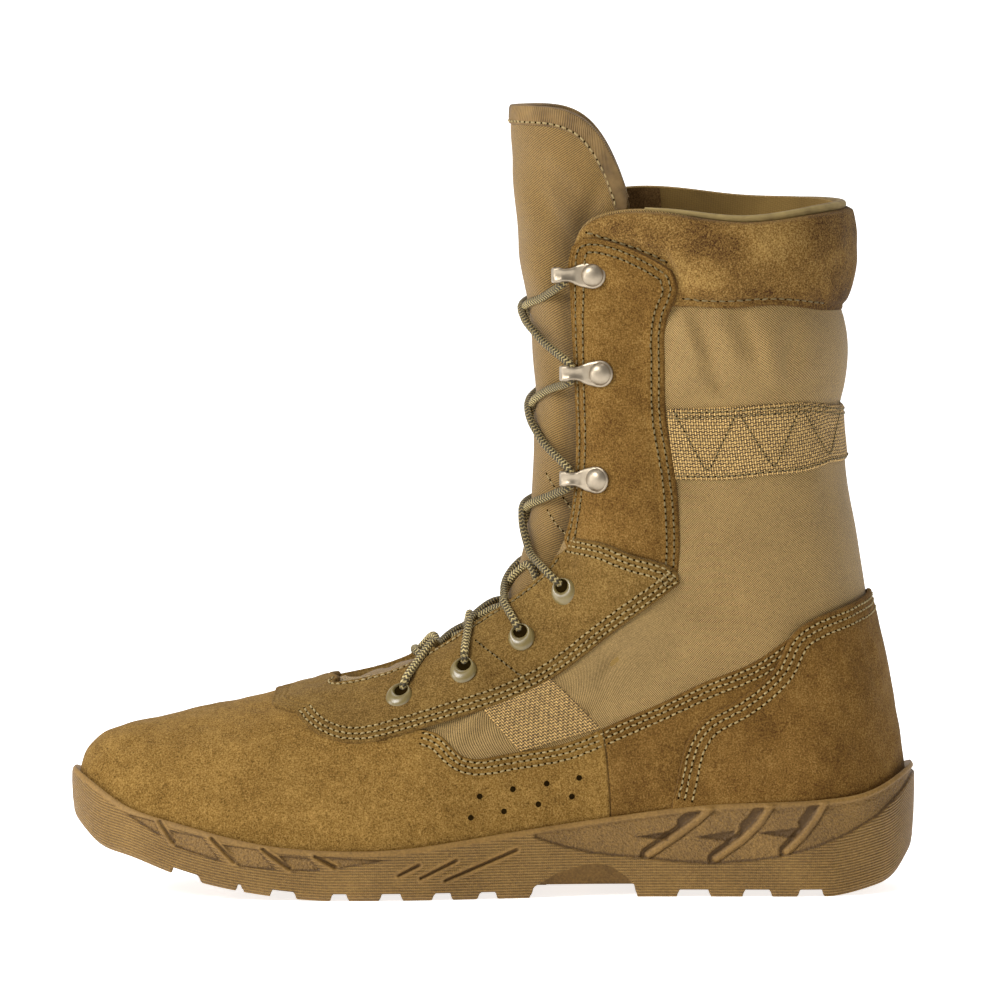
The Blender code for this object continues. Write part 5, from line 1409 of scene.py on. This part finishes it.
def stitched(threads, line, out, surface, pitch=STITCH, thread=THREAD, hole=PRICK, seed=1):
    """One row of stitches along a line with normals, on a surface: each is a short bent rod that dives at
    both ends, and a dark disc of painted shade marks each hole. Adds the rods to the threads and the discs
    to the holes."""
    line = resting(line, out, surface)
    random = np.random.default_rng(seed)
    walk = walked(line)
    count = max(int(walk[-1] / pitch), 1)

    def frames(where):
        """Point, normal, way and side of the line at lengths of its walk."""
        centre, up = read_at(where, walk, line), read_at(where, walk, out)
        along = unit(read_at(where + 0.2, walk, line) - read_at(where - 0.2, walk, line))
        return centre, up, along, np.cross(up, along)
    share, rise, thick = STITCH_FORM.T
    centre, up, _, side = frames((np.arange(count)[:, None] + share) * walk[-1] / count)
    tilt = random.normal(size=(count, 1)) * SLANT * np.linspace(-1, 1, len(share))
    tilt = tilt + random.normal(size=(count, 1)) * SHIFT
    centre = centre + up * thread * rise[:, None] + side * tilt[..., None]
    turn = (np.arange(THREAD_SIDES) * 2 * np.pi / THREAD_SIDES)[:, None]
    ring = side[..., None, :] * np.cos(turn) + up[..., None, :] * np.sin(turn)
    rods = centre[..., None, :] + thread * thick[:, None, None] * ring
    starts = np.arange(count + 1)[:, None, None]
    faces = grid_faces(len(share), THREAD_SIDES, around=True) + starts[:-1] * len(share) * THREAD_SIDES
    threads.append((rods.reshape(-1, 3), faces.reshape(-1, 4)))
    centre, up, along, side = (way[:, None] for way in frames(np.arange(count + 1) * walk[-1] / count))
    disc = centre + up * PRICK_LIFT + hole * (along * np.cos(turn) * PRICK_LONG + side * np.sin(turn))
    discs = np.concatenate([disc, centre + up * PRICK_CROWN], 1)
    holes.append((discs.reshape(-1, 3), (fan(THREAD_SIDES) + starts * (THREAD_SIDES + 1)).reshape(-1, 3)))


def sew(threads, places, gaps, surface, **settings):
    """Rows of stitches beside an edge, on a surface, on the inner side and mirrored on the outer side."""
    for number, gap in enumerate(gaps):
        row = beside(places, gap)
        for side in (row, other_side(row)):
            stitched(threads, on(side), out_of(side), surface, seed=number + 3, **settings)


EYESTAY_SEAM = [(-5.6, 89.2), (3.0, 83.2), (13.4, 75.6)]        # where its two pieces are joined
CUFF_SEAMS = [[(33.5, 236.2), (45.0, 232.8), (56.0, 228.8), (61.5, 226.0)],
              [(67.5, 213.2), (81.0, 212.4), (98.5, 213.2), (116.0, 210.8)]]
GUSSET = [((6.25, -35), (5.95, -62)), ((5.85, -38), (5.55, -66))]       # rows and bends of its two seams
WEB_ZIGZAG = [(64.0, 173.0), (76.0, 150.5), (86.5, 173.3), (99.5, 152.0), (108.5, 174.5), (119.0, 155.5),
              (123.5, 175.0)]
WEB_TOP_ROWS, WEB_LOW_ROWS, TAPE_ROWS = (1.6, 3.4), (1.4,), (TAPE_WIDE - 0.99, 5.2)
PALE_TO, PALE_FROM = 80.0, 36   # angle where the throat's thread turns dark, and the first step that is sewn
pale, dark, holes = [], [], []
vamp_points, eyestay_points, web_points = points_of(vamp), points_of(eyestay), points_of(ankle_tape)
pale_end = np.searchsorted(throat[:, 0], PALE_TO)
facing_line = np.concatenate([cut_at(facing_front, np.linspace(0.14, 1, 60)), facing_back[::-1][:-6]])
sew(pale, drawn(VAMP_EDGE), np.negative(VAMP_ROWS), vamp_points)
sew(pale, drawn(QUARTER_EDGE[:-1]), np.negative(VAMP_ROWS), points_of(*quarters))
sew(pale, counter_top, np.negative(COUNTER_ROWS), points_of(counter))
sew(pale, drawn(EYESTAY_LOW), EYESTAY_ROWS, eyestay_points)
sew(pale, drawn(EYESTAY_TOP), np.negative(EYESTAY_ROWS), eyestay_points)
sew(pale, throat[PALE_FROM:pale_end], np.negative(THROAT_ROWS), eyestay_points)
sew(dark, throat[pale_end:], np.negative(THROAT_ROWS), eyestay_points)
sew(dark, facing_line, np.negative(FACING_ROWS), points_of(*facings), hole=0.38)
for seam in CUFF_SEAMS:
    sew(dark, drawn(seam), (0.0,), points_of(cuff), pitch=3.0)
sew(dark, drawn(EYESTAY_SEAM), (0.0,), eyestay_points, pitch=2.2, thread=0.24)
for first, second in GUSSET:
    row, bend = np.linspace(first[0], second[0], 30), np.radians(np.linspace(first[1], second[1], 30))
    for side in (bend, -bend):
        stitched(pale, tongue_at(row, side), -tongue_inward(row, side), outer_face.reshape(-1, 3), pitch=2.4,
                 thread=0.24)
sew(dark, drawn(WEB_ZIGZAG, 120, True), (0.0,), web_points, pitch=2.0, thread=0.22, hole=0.3)
sew(dark, web_top, np.negative(WEB_TOP_ROWS), web_points, pitch=2.4, thread=0.24, hole=0.28)
sew(dark, web_low, WEB_LOW_ROWS, web_points, pitch=2.4, thread=0.24, hole=0.28)
for gap in TAPE_ROWS:
    row, bend = inside_edge(gap)
    stitched(pale, tongue_at(row, bend), -tongue_inward(row, bend), points_of(tape), pitch=2.6, thread=0.22,
             hole=0.3)
joined("stitches_khaki", pale, khaki)
joined("stitches_olive", dark, olive)


# Vents: eight holes each side, punched through the vamp's suede low at the instep, with a dark mesh
# behind them; each is a dark disc, of the mesh's colour and painted shade in the hole. The needle's
# holes are the same dark discs, so they are joined here too.
VENTS = [(87.8, 0.164), (92.5, 0.164), (97.3, 0.156), (101.8, 0.148),
         (86.8, 0.100), (91.4, 0.099), (96.1, 0.099), (100.7, 0.100)]      # angle, t
VENT_RADIUS, VENT_LIFT, VENT_CROWN, VENT_SIDES = 1.05, 0.1, 0.12, 16
turn = (np.arange(VENT_SIDES) * 2 * np.pi / VENT_SIDES)[:, None]
vents = []
for place in each_side(VENTS):
    point, forward, up, out = seat(place, 0.0)
    centre = resting(np.repeat(point[None], 6, 0), np.repeat(out[None], 6, 0), vamp_points)[0]
    disc = centre + out * VENT_LIFT + VENT_RADIUS * (forward * np.cos(turn) + up * np.sin(turn))
    vents.append((np.concatenate([disc, [centre + out * VENT_CROWN]]), fan(VENT_SIDES)))
joined("vent_holes", vents, well)
joined("stitch_holes", holes, well)
